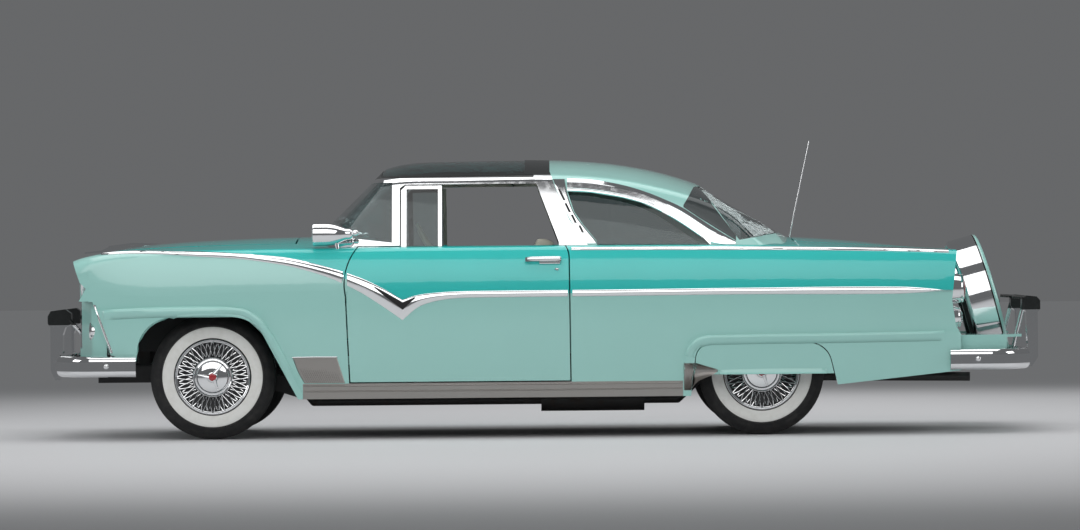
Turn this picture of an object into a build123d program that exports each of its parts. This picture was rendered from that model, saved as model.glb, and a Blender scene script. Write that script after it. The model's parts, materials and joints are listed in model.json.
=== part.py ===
"""Two-door hardtop car of the middle 1950s, with a band over its roof and its spare wheel behind.

Millimetres, +Z up, the car's front towards -X and its left side towards -Y.
The origin is on the ground, in the middle of the car's length and width.
Each piece is a separate solid, written to parts/ under its own name.
"""

import math
import os

from build123d import *

os.makedirs("parts", exist_ok=True)

# Driving dimensions of the whole car
WHEELBASE = 2934.0
FRONT_OVERHANG = 918.0
REAR_OVERHANG = 1530.0
LENGTH = FRONT_OVERHANG + WHEELBASE + REAR_OVERHANG
FRONT_AXLE = -LENGTH / 2 + FRONT_OVERHANG
REAR_AXLE = FRONT_AXLE + WHEELBASE
TYRE_RADIUS = 335.0
FRONT_TRACK = 1473.0
REAR_TRACK = 1422.0
GAP = 7.0  # shut line between a moving panel and its neighbour
HINGE_GAP = 9.0  # the same at the hinged edges of the bonnet and the boot lid
SEAT_GAP = 0.3  # clearance where one piece rests beside another

# Heights
SILL_Z = 214.0
SILL_TOP_Z = 296.0
DOOR_BOTTOM_Z = SILL_TOP_Z + GAP
BELT_Z = 1010.0
FLOOR_TOP_Z = SILL_TOP_Z

# Lengthwise places
BONNET_REAR_X = FRONT_AXLE + 440
DOOR_FRONT_X = FRONT_AXLE + 722
DOOR_LENGTH = 1184.0
DOOR_REAR_X = DOOR_FRONT_X + DOOR_LENGTH
TAIL_X = REAR_AXLE + 1044
ROCKER_FRONT_X = FRONT_AXLE + 486
ROCKER_REAR_X = REAR_AXLE - 424
LID_FRONT_X = REAR_AXLE + 190
LID_REAR_X = REAR_AXLE + 1028

# Widths, measured from the middle
BONNET_HALF = 655.0
LID_HALF = 640.0
BELT_HALF = 850.0
LEAN = 0.438  # the side windows come in by this much for each unit of height
WALL = 12.0
DOOR_THICKNESS = 80.0

HULL_FLOOR = 190.0
HULL_TABLE = (
    # x, half widths at the sill and at the widest, its height, shoulder's half width, height, radius, crown height
    (FRONT_AXLE - 760, 820, 868, 800, 852, 950, 84, 958),
    (FRONT_AXLE - 655, 838, 890, 800, 880, 984, 84, 994),
    (FRONT_AXLE - 430, 866, 926, 775, 868, 1004, 60, 1036),
    (FRONT_AXLE, 888, 948, 780, 880, 1010, 52, 1067),
    (FRONT_AXLE + 573, 903, 960, 790, 888, 1014, 52, 1081),
    (FRONT_AXLE + 1573, 908, 964, 800, 888, 1018, 52, 1066),
    (REAR_AXLE - 461, 907, 962, 800, 886, 1016, 52, 1062),
    (REAR_AXLE + 139, 900, 955, 800, 880, 1007, 52, 1059),
    (REAR_AXLE + 639, 885, 938, 795, 868, 994, 52, 1022),
    (REAR_AXLE + 1090, 862, 908, 785, 846, 977, 52, 990),
)


def hull(inset):
    """The body below the windows as one solid, its faces moved in by inset."""
    with BuildPart() as body:
        for x, sill_w, wide_w, wide_z, shoulder_w, shoulder_z, radius, crown_z in HULL_TABLE:
            with BuildSketch(Plane.YZ.offset(x)) as section:
                with BuildLine():
                    low = (sill_w - inset, HULL_FLOOR)
                    wide = (wide_w - inset, wide_z)
                    shoulder = (shoulder_w - inset, shoulder_z - inset)
                    Line((0, HULL_FLOOR), low)
                    TangentArc(wide, low, tangent=(0, -1))
                    TangentArc(wide, shoulder, tangent=(0, 1))
                    TangentArc((0, crown_z - inset), shoulder, tangent=(1, 0))
                    mirror(about=Plane.YZ)
                make_face()
                fillet(section.vertices().sort_by(Axis.Y)[-2:], radius=radius - inset * 0.3)
        loft()
    return body.part


GREENHOUSE_TABLE = (
    # x, corner height on the side plane, crown height
    (FRONT_AXLE + 500, 1290, 1330),
    (FRONT_AXLE + 793, 1345, 1386),
    (FRONT_AXLE + 913, 1378, 1451),
    (FRONT_AXLE + 1213, 1392, 1489),
    (FRONT_AXLE + 1773, 1396, 1491),
    (REAR_AXLE - 731, 1362, 1459),
    (REAR_AXLE - 461, 1302, 1400),
    (REAR_AXLE - 301, 1252, 1345),
    (REAR_AXLE - 101, 1125, 1240),
    (REAR_AXLE + 159, 1025, 1105),
)
ROOF_RADIUS = 70.0


def side_y(z):
    """Half width of the windows' plane at a height."""
    return BELT_HALF - LEAN * (z - BELT_Z)


def greenhouse(inset):
    """The roof and windows as one solid, its faces moved in by inset."""
    with BuildPart() as body:
        for x, corner_z, crown_z in GREENHOUSE_TABLE:
            with BuildSketch(Plane.YZ.offset(x)) as section:
                with BuildLine():
                    base = (side_y(BELT_Z - 60) - inset, BELT_Z - 60)
                    corner = (side_y(corner_z) - inset, corner_z - inset)
                    Line((0, BELT_Z - 60), base)
                    Line(base, corner)
                    TangentArc((0, crown_z - inset), corner, tangent=(1, 0))
                    mirror(about=Plane.YZ)
                make_face()
                fillet(section.vertices().sort_by(Axis.Y)[-2:], radius=ROOF_RADIUS - inset)
        loft()
    return body.part


GLASS_LOW_Z = 990.0
GLASS_HIGH_Z = 1520.0
SCREEN_TABLE = (
    # height, middle place, how far the corners stand back, corner radius
    (GLASS_LOW_Z, FRONT_AXLE + 443, 150, 300),
    (GLASS_HIGH_Z, FRONT_AXLE + 987, 60, 120),
)
BACKLIGHT_TABLE = (
    (GLASS_LOW_Z, REAR_AXLE + 283, -150, 280),
    (GLASS_HIGH_Z, REAR_AXLE - 605, -60, 120),
)


def end_glass(table, inset):
    """The space behind a windscreen or rear window that bows and wraps round to the sides."""
    with BuildPart() as body:
        for z, x, bow, radius in table:
            sign = math.copysign(1, bow)
            half = side_y(z) + 60 - inset
            front = x + sign * inset
            corner = x + bow + sign * inset
            far = x + sign * WHEELBASE
            with BuildSketch(Plane.XY.offset(z)) as section:
                with BuildLine():
                    ThreePointArc((corner, -half), (front, 0), (corner, half))
                    Polyline((corner, half), (far, half), (far, -half), (corner, -half))
                make_face()
                ends = section.vertices().sort_by(lambda v: abs(v.X - corner))[:2]
                fillet(ends, radius=radius - inset)
        loft()
    return body.part


def cabin(inset):
    """The whole upper body as one solid, its faces moved in by inset."""
    roof = greenhouse(inset)
    front = end_glass(SCREEN_TABLE, inset)
    rear = end_glass(BACKLIGHT_TABLE, inset)
    with BuildPart() as body:
        add(roof)
        add(front, mode=Mode.INTERSECT)
        add(rear, mode=Mode.INTERSECT)
    return body.part


def save(part, name):
    """Labels a finished piece and writes its file."""
    part.label = name
    export_step(part, f"parts/{name}.step")


def outline_of(points, rounds=()):
    """Side-view or plan-view sketch of a polygon; rounds pairs a corner's number with its radius."""
    with BuildSketch() as shape:
        with BuildLine():
            Polyline(*points, close=True)
        make_face()
        for corner, radius in rounds:
            x, y = points[corner]
            near = shape.vertices().sort_by(lambda v: (v.X - x) ** 2 + (v.Y - y) ** 2)[0]
            fillet(near, radius=radius)
    return shape.sketch


def door_outline(grow):
    """Side-view sketch of the door below the glass, its front, rear and lower edges moved out by grow."""
    front, rear, low, top = DOOR_FRONT_X - grow, DOOR_REAR_X + grow, DOOR_BOTTOM_Z - grow, BELT_Z + 90
    with BuildSketch() as outline:
        with BuildLine():
            Line((front + 18, low), (front, 760))
            ThreePointArc((front, 760), (front + 14, 935), (front + 65, BELT_Z + 12))
            Line((front + 65, BELT_Z + 12), (front + 65, top))
            Line((front + 65, top), (rear - 20, top))
            Line((rear - 20, top), (rear - 20, BELT_Z + 12))
            ThreePointArc((rear - 20, BELT_Z + 12), (rear - 5, 990), (rear, 955))
            Line((rear, 955), (rear + 4, low))
            Line((rear + 4, low), (front + 18, low))
        make_face()
    return outline.sketch


def front_arch(grow):
    """Side-view sketch of the front wheel opening."""
    top = 656 + grow
    points = (
        (FRONT_AXLE - 430 - grow, 100),
        (FRONT_AXLE - 377 - grow, top),
        (FRONT_AXLE + 227 + grow, top),
        (FRONT_AXLE + 520 + grow, 100),
    )
    return outline_of(points, ((1, 190), (2, 190)))


def skirt_outline(grow):
    """Side-view sketch of the rear wheel cover."""
    top = 490 + grow
    points = (
        (REAR_AXLE - 385 - grow, 150),
        (REAR_AXLE - 366 - grow, 330),
        (REAR_AXLE - 345 - grow, top),
        (REAR_AXLE + 340 + grow, top),
        (REAR_AXLE + 425 + grow, 150),
    )
    return outline_of(points, ((2, 80), (3, 120)))


# Master solids that the panels are cut from
outer_hull = hull(0)
inner_hull = hull(WALL)
flare_hull = hull(-10)
above_hull = hull(-SEAT_GAP)
thick_hull = hull(DOOR_THICKNESS)

front_flare_sketch = outline_of(
    (
        (FRONT_AXLE - 700, 100),
        (FRONT_AXLE - 640, 700),
        (FRONT_AXLE + 250, 707),
        (FRONT_AXLE + 558, 100),
    ),
    ((2, 150),),
)
rear_flare_sketch = outline_of(
    (
        (REAR_AXLE - 440, 100),
        (REAR_AXLE - 402, 538),
        (REAR_AXLE + 1100, 549),
        (REAR_AXLE + 1100, 100),
    ),
    ((1, 90),),
)
low_cut_sketch = outline_of(
    (
        (-LENGTH / 2, 0),
        (-LENGTH / 2, 742),
        (FRONT_AXLE - 632, 742),
        (FRONT_AXLE - 535, 456),
        (FRONT_AXLE - 402, 430),
        (FRONT_AXLE - 300, SILL_Z),
        (REAR_AXLE - 380, SILL_Z),
        (REAR_AXLE + 400, 268),
        (REAR_AXLE + 1200, 352),
        (REAR_AXLE + 1200, 0),
    )
)

with BuildPart() as skin:
    add(flare_hull)
    with BuildSketch(Plane.XZ):
        add(front_flare_sketch)
        add(rear_flare_sketch)
    extrude(amount=1200, both=True, mode=Mode.INTERSECT)
    add(outer_hull)
    add(inner_hull, mode=Mode.SUBTRACT)
    with BuildSketch(Plane.XZ):
        add(low_cut_sketch)
    extrude(amount=1200, both=True, mode=Mode.SUBTRACT)

upper = cabin(0)
upper_inner = cabin(WALL)
glass_outer = cabin(3)
glass_inner = cabin(8)

with BuildPart() as shell:
    add(upper)
    add(upper_inner, mode=Mode.SUBTRACT)
    add(above_hull, mode=Mode.SUBTRACT)

with BuildPart() as glazing:
    add(glass_outer)
    add(glass_inner, mode=Mode.SUBTRACT)
    add(above_hull, mode=Mode.SUBTRACT)


lining_hull = hull(WALL + SEAT_GAP)
lap_root_hull = hull(WALL - 2)
lap_deep_hull = hull(WALL + 10)


def lap(root_box, reach_box):
    """A tongue joined to its panel's inner face in root_box that lies behind the next panel in reach_box.

    Each box is its lowest and highest place along, across and up; the tongue is made on both sides.
    """
    solids = []
    for base, (low_x, high_x, low_y, high_y, low_z, high_z) in ((lap_root_hull, root_box), (lining_hull, reach_box)):
        with BuildPart() as tongue:
            with Locations((low_x, low_y, low_z)):
                Box(high_x - low_x, high_y - low_y, high_z - low_z, align=(Align.MIN, Align.MIN, Align.MIN))
            mirror(about=Plane.XZ)
            add(base, mode=Mode.INTERSECT)
            add(lap_deep_hull, mode=Mode.SUBTRACT)
        solids.append(tongue.part)
    with BuildPart() as both:
        for solid in solids:
            add(solid)
    return both.part

# Hinges of the bonnet and the boot lid: an arm dips under the next panel's edge to a pin in a bracket
HINGE_Y = 404.0
HINGE_ARM_WIDTH = 36.0
HINGE_BACK = 95.0
HINGE_DIP = 74.0
HINGE_PIN_RADIUS = 5.0
BONNET_PIVOT_X = BONNET_REAR_X + HINGE_BACK
BONNET_PIVOT_Z = 1045.0
LID_PIVOT_X = LID_FRONT_X - HINGE_BACK
LID_PIVOT_Z = 1028.0


def hinge_arms(pivot_x, pivot_z, sign):
    """The panel's two arms with their pins; the panel lies from the pivot along sign."""
    leg_x = pivot_x + sign * (HINGE_BACK + 24)
    middle_y = HINGE_Y + HINGE_ARM_WIDTH / 2
    with BuildPart() as arms:
        with Locations((leg_x, middle_y, pivot_z - HINGE_DIP - 12)):
            Box(12, HINGE_ARM_WIDTH, 200, align=(Align.CENTER, Align.CENTER, Align.MIN))
        with Locations(((leg_x + pivot_x) / 2, middle_y, pivot_z - HINGE_DIP)):
            Box(abs(leg_x - pivot_x) + 12, HINGE_ARM_WIDTH, 12, align=(Align.CENTER, Align.CENTER, Align.MAX))
        with Locations((pivot_x, middle_y, pivot_z - HINGE_DIP - 12)):
            Box(12, HINGE_ARM_WIDTH, HINGE_DIP + 12, align=(Align.CENTER, Align.CENTER, Align.MIN))
        with Locations(Location((pivot_x, HINGE_Y, pivot_z), (-90, 0, 0))):
            Cylinder(HINGE_PIN_RADIUS, HINGE_ARM_WIDTH + 18, align=(Align.CENTER, Align.CENTER, Align.MIN))
        mirror(about=Plane.XZ)
        add(lap_root_hull, mode=Mode.INTERSECT)
    return arms.part


def hinge_brackets(pivot_x, pivot_z):
    """The body's two brackets that hold those pins."""
    with BuildPart() as brackets:
        with Locations((pivot_x, HINGE_Y + HINGE_ARM_WIDTH + 4, pivot_z - 14)):
            Box(28, 12, 100, align=(Align.CENTER, Align.MIN, Align.MIN))
        with Locations(Location((pivot_x, HINGE_Y, pivot_z), (-90, 0, 0))):
            Cylinder(HINGE_PIN_RADIUS + SEAT_GAP, 100, align=(Align.CENTER, Align.CENTER, Align.MIN),
                     mode=Mode.SUBTRACT)
        mirror(about=Plane.XZ)
        add(lap_root_hull, mode=Mode.INTERSECT)
    return brackets.part


bonnet_arms = hinge_arms(BONNET_PIVOT_X, BONNET_PIVOT_Z, -1)
bonnet_brackets = hinge_brackets(BONNET_PIVOT_X, BONNET_PIVOT_Z)
lid_arms = hinge_arms(LID_PIVOT_X, LID_PIVOT_Z, 1)
lid_brackets = hinge_brackets(LID_PIVOT_X, LID_PIVOT_Z)

# Bonnet, front wings, scuttle
BONNET_TIP_X = FRONT_AXLE - 745
bonnet_points = (
    (BONNET_TIP_X, -430),
    (BONNET_TIP_X, 430),
    (BONNET_TIP_X + 75, 600),
    (BONNET_REAR_X, BONNET_HALF),
    (BONNET_REAR_X, -BONNET_HALF),
    (BONNET_TIP_X + 75, -600),
)
bonnet_sketch = outline_of(bonnet_points, ((1, 250), (0, 250)))
bonnet_hole_points = (
    (BONNET_TIP_X - 100, -600 - GAP),
    (BONNET_TIP_X - 100, 600 + GAP),
    (BONNET_TIP_X + 75, 600 + GAP),
    (BONNET_REAR_X + HINGE_GAP, BONNET_HALF + GAP),
    (BONNET_REAR_X + HINGE_GAP, -BONNET_HALF - GAP),
    (BONNET_TIP_X + 75, -600 - GAP),
)
bonnet_hole_sketch = outline_of(bonnet_hole_points)

with BuildPart() as hood:
    add(skin.part)
    with BuildSketch(Plane.XY.offset(900)):
        add(bonnet_sketch)
    extrude(amount=300, mode=Mode.INTERSECT)
    add(bonnet_arms)
save(hood.part, "hood")


FENDER_FRONT_X = FRONT_AXLE - 655
COWL_HALF = BONNET_HALF + GAP
COWL_REAR_X = DOOR_FRONT_X + 140
front_arch_sketch = front_arch(0)
door_gap_sketch = door_outline(GAP)

with BuildPart() as front_fenders:
    add(skin.part)
    with Locations((FENDER_FRONT_X, 0, 600)):
        Box(DOOR_FRONT_X + 100 - FENDER_FRONT_X, 2400, 1200, align=(Align.MIN, Align.CENTER, Align.CENTER),
            mode=Mode.INTERSECT)
    with BuildSketch(Plane.XZ):
        add(front_arch_sketch)
        add(door_gap_sketch)
    extrude(amount=1200, both=True, mode=Mode.SUBTRACT)
    with BuildSketch(Plane.XY):
        add(bonnet_hole_sketch)
    extrude(amount=1200, mode=Mode.SUBTRACT)
    with Locations((FENDER_FRONT_X - 50, 0, 0)):
        Box(DOOR_FRONT_X + 200 - FENDER_FRONT_X, 2 * COWL_HALF, 1200, align=(Align.MIN, Align.CENTER, Align.MIN),
            mode=Mode.SUBTRACT)
    with Locations((ROCKER_FRONT_X, 0, 0)):
        Box(600, 2400, SILL_TOP_Z, align=(Align.MIN, Align.CENTER, Align.MIN), mode=Mode.SUBTRACT)
save(front_fenders.part, "front_fenders")

FIREWALL_X = DOOR_FRONT_X - 165
PILLAR_HALF = 790.0
TUNNEL_HALF = 150.0
TUNNEL_HIGH = 510.0
SHAFT_TUNNEL_HALF = 72.0
SHAFT_TUNNEL_HIGH = 430.0

# Scuttle ahead of the windscreen, the wall behind the engine and the posts that carry the door hinges
with BuildPart() as scuttle:
    add(skin.part)
    with Locations((BONNET_REAR_X + HINGE_GAP, 0, 700)):
        Box(COWL_REAR_X - BONNET_REAR_X - HINGE_GAP, 2 * COWL_HALF - 2 * SEAT_GAP, 800,
            align=(Align.MIN, Align.CENTER, Align.MIN), mode=Mode.INTERSECT)
with BuildPart() as firewall:
    add(lining_hull)
    with Locations((FIREWALL_X, 0, FLOOR_TOP_Z)):
        Box(12, 2400, 900, align=(Align.MIN, Align.CENTER, Align.MIN), mode=Mode.INTERSECT)
    with Locations((FIREWALL_X, 0, 0)):
        Box(100, 2 * TUNNEL_HALF + 2 * SEAT_GAP, TUNNEL_HIGH + SEAT_GAP, align=(Align.CENTER, Align.CENTER, Align.MIN),
            mode=Mode.SUBTRACT)
with BuildPart() as hinge_posts:
    add(lining_hull)
    with BuildSketch(Plane.XZ):
        with Locations((DOOR_FRONT_X - 50, FLOOR_TOP_Z)):
            Rectangle(90, 665, align=(Align.CENTER, Align.MIN))
    extrude(amount=1200, both=True, mode=Mode.INTERSECT)
    Box(2 * LENGTH, 2 * PILLAR_HALF, 3000, mode=Mode.SUBTRACT)
    with BuildSketch(Plane.XZ):
        add(door_gap_sketch)
    extrude(amount=1200, both=True, mode=Mode.SUBTRACT)
with BuildPart() as cowl_panel:
    add(scuttle.part)
    add(bonnet_brackets)
    add(firewall.part)
    add(hinge_posts.part)
save(cowl_panel.part, "cowl_panel")

# Upper body: openings of the windows in the side view
SCREEN_POST_X = FRONT_AXLE + 965
VENT_FRONT_X = FRONT_AXLE + 1006
HEADER_X = FRONT_AXLE + 904
ROOF_PANEL_REAR_X = FRONT_AXLE + 1675
BAND_TOP_X = FRONT_AXLE + 1724
BAND_LOW_X = FRONT_AXLE + 1860
screen_hole_sketch = outline_of(
    (
        (SCREEN_POST_X - 900, 900),
        (SCREEN_POST_X - 900, 1366),
        (SCREEN_POST_X, 1366),
        (SCREEN_POST_X, 1044),
        (FRONT_AXLE + 600, 1086),
        (FRONT_AXLE + 520, 1090),
        (FRONT_AXLE + 500, 1092),
        (FRONT_AXLE + 200, 1092),
        (FRONT_AXLE + 200, 900),
    )
)
side_hole_points = (
    (VENT_FRONT_X, 900),
    (VENT_FRONT_X, 1335),
    (VENT_FRONT_X + 28, 1355),
    (BAND_TOP_X + 16, 1355),
    (BAND_LOW_X - 10, 1030),
    (BAND_LOW_X, 900),
)
side_hole_sketch = outline_of(side_hole_points)
quarter_hole_points = (
    (BAND_LOW_X + 45, 1310),
    (REAR_AXLE - 905, 1303),
    (REAR_AXLE - 742, 1275),
    (REAR_AXLE - 634, 1246),
    (REAR_AXLE - 526, 1196),
    (REAR_AXLE - 418, 1130),
    (REAR_AXLE - 309, 1053),
    (REAR_AXLE - 270, 1030),
    (REAR_AXLE - 270, 960),
    (BAND_LOW_X + 215, 960),
    (BAND_LOW_X + 195, 1047),
    (BAND_LOW_X + 135, 1120),
    (BAND_LOW_X + 80, 1200),
)
quarter_hole_sketch = outline_of(quarter_hole_points)
backlight_hole_sketch = outline_of(
    (
        (REAR_AXLE - 322, 1336),
        (REAR_AXLE - 115, 1042),
        (REAR_AXLE + 120, 1082),
        (REAR_AXLE + 300, 1082),
        (REAR_AXLE + 300, 1336),
    )
)
band_points = (
    (BAND_TOP_X, 1700),
    (BAND_TOP_X, 1393),
    (BAND_LOW_X - 4, 1040),
    (BAND_LOW_X - 4, 900),
    (BAND_LOW_X + 210, 900),
    (BAND_LOW_X + 155, 1017),
    (BAND_LOW_X + 52, 1158),
    (BAND_LOW_X - 20, 1330),
    (BAND_LOW_X - 50, 1420),
    (BAND_LOW_X - 50, 1700),
)
band_sketch = outline_of(band_points)
roof_hole_sketch = outline_of(
    (
        (HEADER_X, -610),
        (HEADER_X, 610),
        (ROOF_PANEL_REAR_X, 625),
        (ROOF_PANEL_REAR_X, -625),
    ),
    ((0, 60), (1, 60)),
)
roof_panel_sketch = outline_of(
    (
        (HEADER_X + SEAT_GAP, -610 + SEAT_GAP),
        (HEADER_X + SEAT_GAP, 610 - SEAT_GAP),
        (ROOF_PANEL_REAR_X - SEAT_GAP, 625 - SEAT_GAP),
        (ROOF_PANEL_REAR_X - SEAT_GAP, -625 + SEAT_GAP),
    ),
    ((0, 60), (1, 60)),
)

SPLIT_HALF = 640.0
A_POST_FOOT_Z = 1028.0


def split_across(part):
    """The same shell as a middle piece and two side pieces, with a fine gap between them."""
    with BuildPart() as pieces:
        add(part)
        Box(2 * LENGTH, 2 * SPLIT_HALF, 4000, mode=Mode.SUBTRACT)
    with BuildPart() as middle:
        add(part)
        Box(2 * LENGTH, 2 * SPLIT_HALF - 2 * SEAT_GAP, 4000, mode=Mode.INTERSECT)
    return middle.part, pieces.part


with BuildPart() as windshield_frame:
    add(shell.part)
    with BuildSketch(Plane.XZ):
        with Locations((BAND_TOP_X + 40, 900)):
            Rectangle(1600, 800, align=(Align.MAX, Align.MIN))
    extrude(amount=1200, both=True, mode=Mode.INTERSECT)
    with BuildSketch(Plane.XZ):
        add(screen_hole_sketch)
        add(side_hole_sketch)
        add(band_sketch)
    extrude(amount=1200, both=True, mode=Mode.SUBTRACT)
    with BuildSketch(Plane.XY.offset(1400)):
        add(roof_hole_sketch)
    extrude(amount=300, mode=Mode.SUBTRACT)
    with Locations((DOOR_FRONT_X + 40, 0, 900)):
        Box(1200, 2400, A_POST_FOOT_Z - 900, align=(Align.MIN, Align.CENTER, Align.MIN), mode=Mode.SUBTRACT)

with BuildPart() as tiara_band:
    add(shell.part)
    with BuildSketch(Plane.XZ):
        add(band_sketch)
    extrude(amount=1200, both=True, mode=Mode.INTERSECT)

ahead_of_band = (
    (BAND_LOW_X - 300, 900),
    (BAND_LOW_X, 900),
    (BAND_LOW_X + 10, 1030),
    (BAND_TOP_X + 30, 1390),
    (BAND_TOP_X + 30, 1900),
    (BAND_LOW_X - 300, 1900),
)
with BuildPart() as roof_rear:
    add(shell.part)
    with BuildSketch(Plane.XZ):
        with Locations((BAND_LOW_X - 100, 900)):
            Rectangle(2600, 800, align=(Align.MIN, Align.MIN))
    extrude(amount=1200, both=True, mode=Mode.INTERSECT)
    with BuildSketch(Plane.XZ):
        add(quarter_hole_sketch)
        add(backlight_hole_sketch)
        add(band_sketch)
        with BuildLine():
            Polyline(*ahead_of_band, close=True)
        make_face()
    extrude(amount=1200, both=True, mode=Mode.SUBTRACT)

with BuildPart() as windshield:
    add(glazing.part)
    with BuildSketch(Plane.XZ):
        add(screen_hole_sketch)
    extrude(amount=1200, both=True, mode=Mode.INTERSECT)

with BuildPart() as roof_front_panel:
    add(glazing.part)
    with BuildSketch(Plane.XY.offset(1400)):
        add(roof_panel_sketch)
    extrude(amount=300, mode=Mode.INTERSECT)

with BuildPart() as quarter_glass:
    add(glazing.part)
    with BuildSketch(Plane.XZ):
        add(quarter_hole_sketch)
    extrude(amount=1200, both=True, mode=Mode.INTERSECT)

with BuildPart() as backlight:
    add(glazing.part)
    with BuildSketch(Plane.XZ):
        add(backlight_hole_sketch)
    extrude(amount=1200, both=True, mode=Mode.INTERSECT)

for whole, name in ((windshield_frame, "windshield_frame"), (tiara_band, "tiara_band"), (roof_rear, "roof_rear")):
    with BuildPart() as pieces:
        for piece in split_across(whole.part):
            add(piece)
    save(pieces.part, name)
save(roof_front_panel.part, "roof_front_panel")
with BuildPart() as fixed_glass:
    add(windshield.part)
    add(quarter_glass.part)
    add(backlight.part)
save(fixed_glass.part, "fixed_glass")

# Doors, each with its vent window, its frame and handle; the main windows are wound down inside
door_sketch = door_outline(0)
vent_frame_sketch = outline_of(
    (
        (VENT_FRONT_X + GAP, 900),
        (VENT_FRONT_X + GAP, 1325),
        (VENT_FRONT_X + 32, 1349),
        (VENT_FRONT_X + 225, 1349),
        (VENT_FRONT_X + 225, 900),
    )
)
vent_hole_sketch = outline_of(
    (
        (VENT_FRONT_X + 36, 1020),
        (VENT_FRONT_X + 36, 1330),
        (VENT_FRONT_X + 205, 1330),
        (VENT_FRONT_X + 205, 1020),
    )
)
DOOR_INNER_HALF = 800.0
DOOR_TOP_INNER_HALF = 831.0

HINGE_LEAF_TABLE = (420.0, 560.0)
DOOR_HINGE_X = DOOR_FRONT_X + 7
DOOR_HINGE_Y = 955.5
DOOR_EDGE_RADIUS = 5.0
door_near_sketch = door_outline(GAP - SEAT_GAP)
with BuildPart() as hinge_leaves:
    with BuildSketch(Plane.XZ):
        add(door_near_sketch)
    extrude(amount=1200)
    with BuildSketch(Plane.XZ):
        for z in HINGE_LEAF_TABLE:
            with Locations((DOOR_FRONT_X, z)):
                Rectangle(60, 45)
    extrude(amount=1200, mode=Mode.INTERSECT)
    with Locations((DOOR_FRONT_X, -898, 600)):
        Box(400, 36, 1000, mode=Mode.INTERSECT)

with BuildPart() as door_left:
    add(outer_hull)
    add(thick_hull, mode=Mode.SUBTRACT)
    with BuildSketch(Plane.XZ):
        add(door_sketch)
    extrude(amount=1200, mode=Mode.INTERSECT)
    Box(2 * LENGTH, 2 * DOOR_INNER_HALF, 3000, mode=Mode.SUBTRACT)
    with Locations((0, 0, 1000)):
        Box(2 * LENGTH, 2 * DOOR_TOP_INNER_HALF, 300, align=(Align.CENTER, Align.CENTER, Align.MIN),
            mode=Mode.SUBTRACT)
    with Locations((DOOR_HINGE_X, -DOOR_HINGE_Y, 725)):
        Box(30, 30, 60, align=(Align.MAX, Align.MAX, Align.MIN), mode=Mode.SUBTRACT)
        Cylinder(DOOR_EDGE_RADIUS, 60, align=(Align.CENTER, Align.CENTER, Align.MIN))
    add(hinge_leaves.part)
save(door_left.part, "door_left")

with BuildPart() as door_right:
    add(mirror(door_left.part, about=Plane.XZ))
save(door_right.part, "door_right")

with BuildPart() as vent_glass_left:
    add(glazing.part)
    with BuildSketch(Plane.XZ):
        add(vent_hole_sketch)
    extrude(amount=1200, mode=Mode.INTERSECT)
save(vent_glass_left.part, "vent_glass_left")

with BuildPart() as vent_glass_right:
    add(mirror(vent_glass_left.part, about=Plane.XZ))
save(vent_glass_right.part, "vent_glass_right")

with BuildPart() as vent_frame_left:
    add(shell.part)
    with BuildSketch(Plane.XZ):
        add(vent_frame_sketch)
        add(vent_hole_sketch, mode=Mode.SUBTRACT)
    extrude(amount=1200, mode=Mode.INTERSECT)

# Rear wings, the panel round the boot lid, the lid and the panel behind it
skirt_hole_sketch = skirt_outline(4)
skirt_sketch = skirt_outline(0)
lid_sketch = outline_of(
    (
        (LID_FRONT_X, -LID_HALF),
        (LID_FRONT_X, LID_HALF),
        (LID_REAR_X, LID_HALF - 40),
        (LID_REAR_X, -LID_HALF + 40),
    ),
    ((0, 120), (1, 120), (2, 20), (3, 20)),
)
lid_hole_sketch = outline_of(
    (
        (LID_FRONT_X - HINGE_GAP, -LID_HALF - GAP),
        (LID_FRONT_X - HINGE_GAP, LID_HALF + GAP),
        (LID_REAR_X, LID_HALF - 40 + GAP),
        (LID_REAR_X + 100, LID_HALF - 44 + GAP),
        (LID_REAR_X + 100, -LID_HALF + 44 - GAP),
        (LID_REAR_X, -LID_HALF + 40 - GAP),
    ),
    ((0, 125), (1, 125)),
)
tail_cut_sketch = outline_of(
    (
        (TAIL_X, 1200),
        (TAIL_X, 972),
        (TAIL_X - 9, 914),
        (TAIL_X - 32, 712),
        (TAIL_X - 12, 578),
        (TAIL_X + 14, 530),
        (TAIL_X + 14, 0),
        (TAIL_X + 200, 0),
        (TAIL_X + 200, 1200),
    )
)

with BuildPart() as decklid:
    add(skin.part)
    with BuildSketch(Plane.XY.offset(900)):
        add(lid_sketch)
    extrude(amount=300, mode=Mode.INTERSECT)
    add(lid_arms)
save(decklid.part, "decklid")

DECK_FRONT_X = REAR_AXLE + 60
with BuildPart() as rear_deck:
    add(skin.part)
    with Locations((DECK_FRONT_X, 0, 900)):
        Box(LID_FRONT_X + 130 - DECK_FRONT_X, 2 * (LID_HALF + GAP - SEAT_GAP), 400,
            align=(Align.MIN, Align.CENTER, Align.MIN), mode=Mode.INTERSECT)
    with BuildSketch(Plane.XY.offset(900)):
        add(lid_hole_sketch)
    extrude(amount=300, mode=Mode.SUBTRACT)
    add(lid_brackets)

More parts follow.
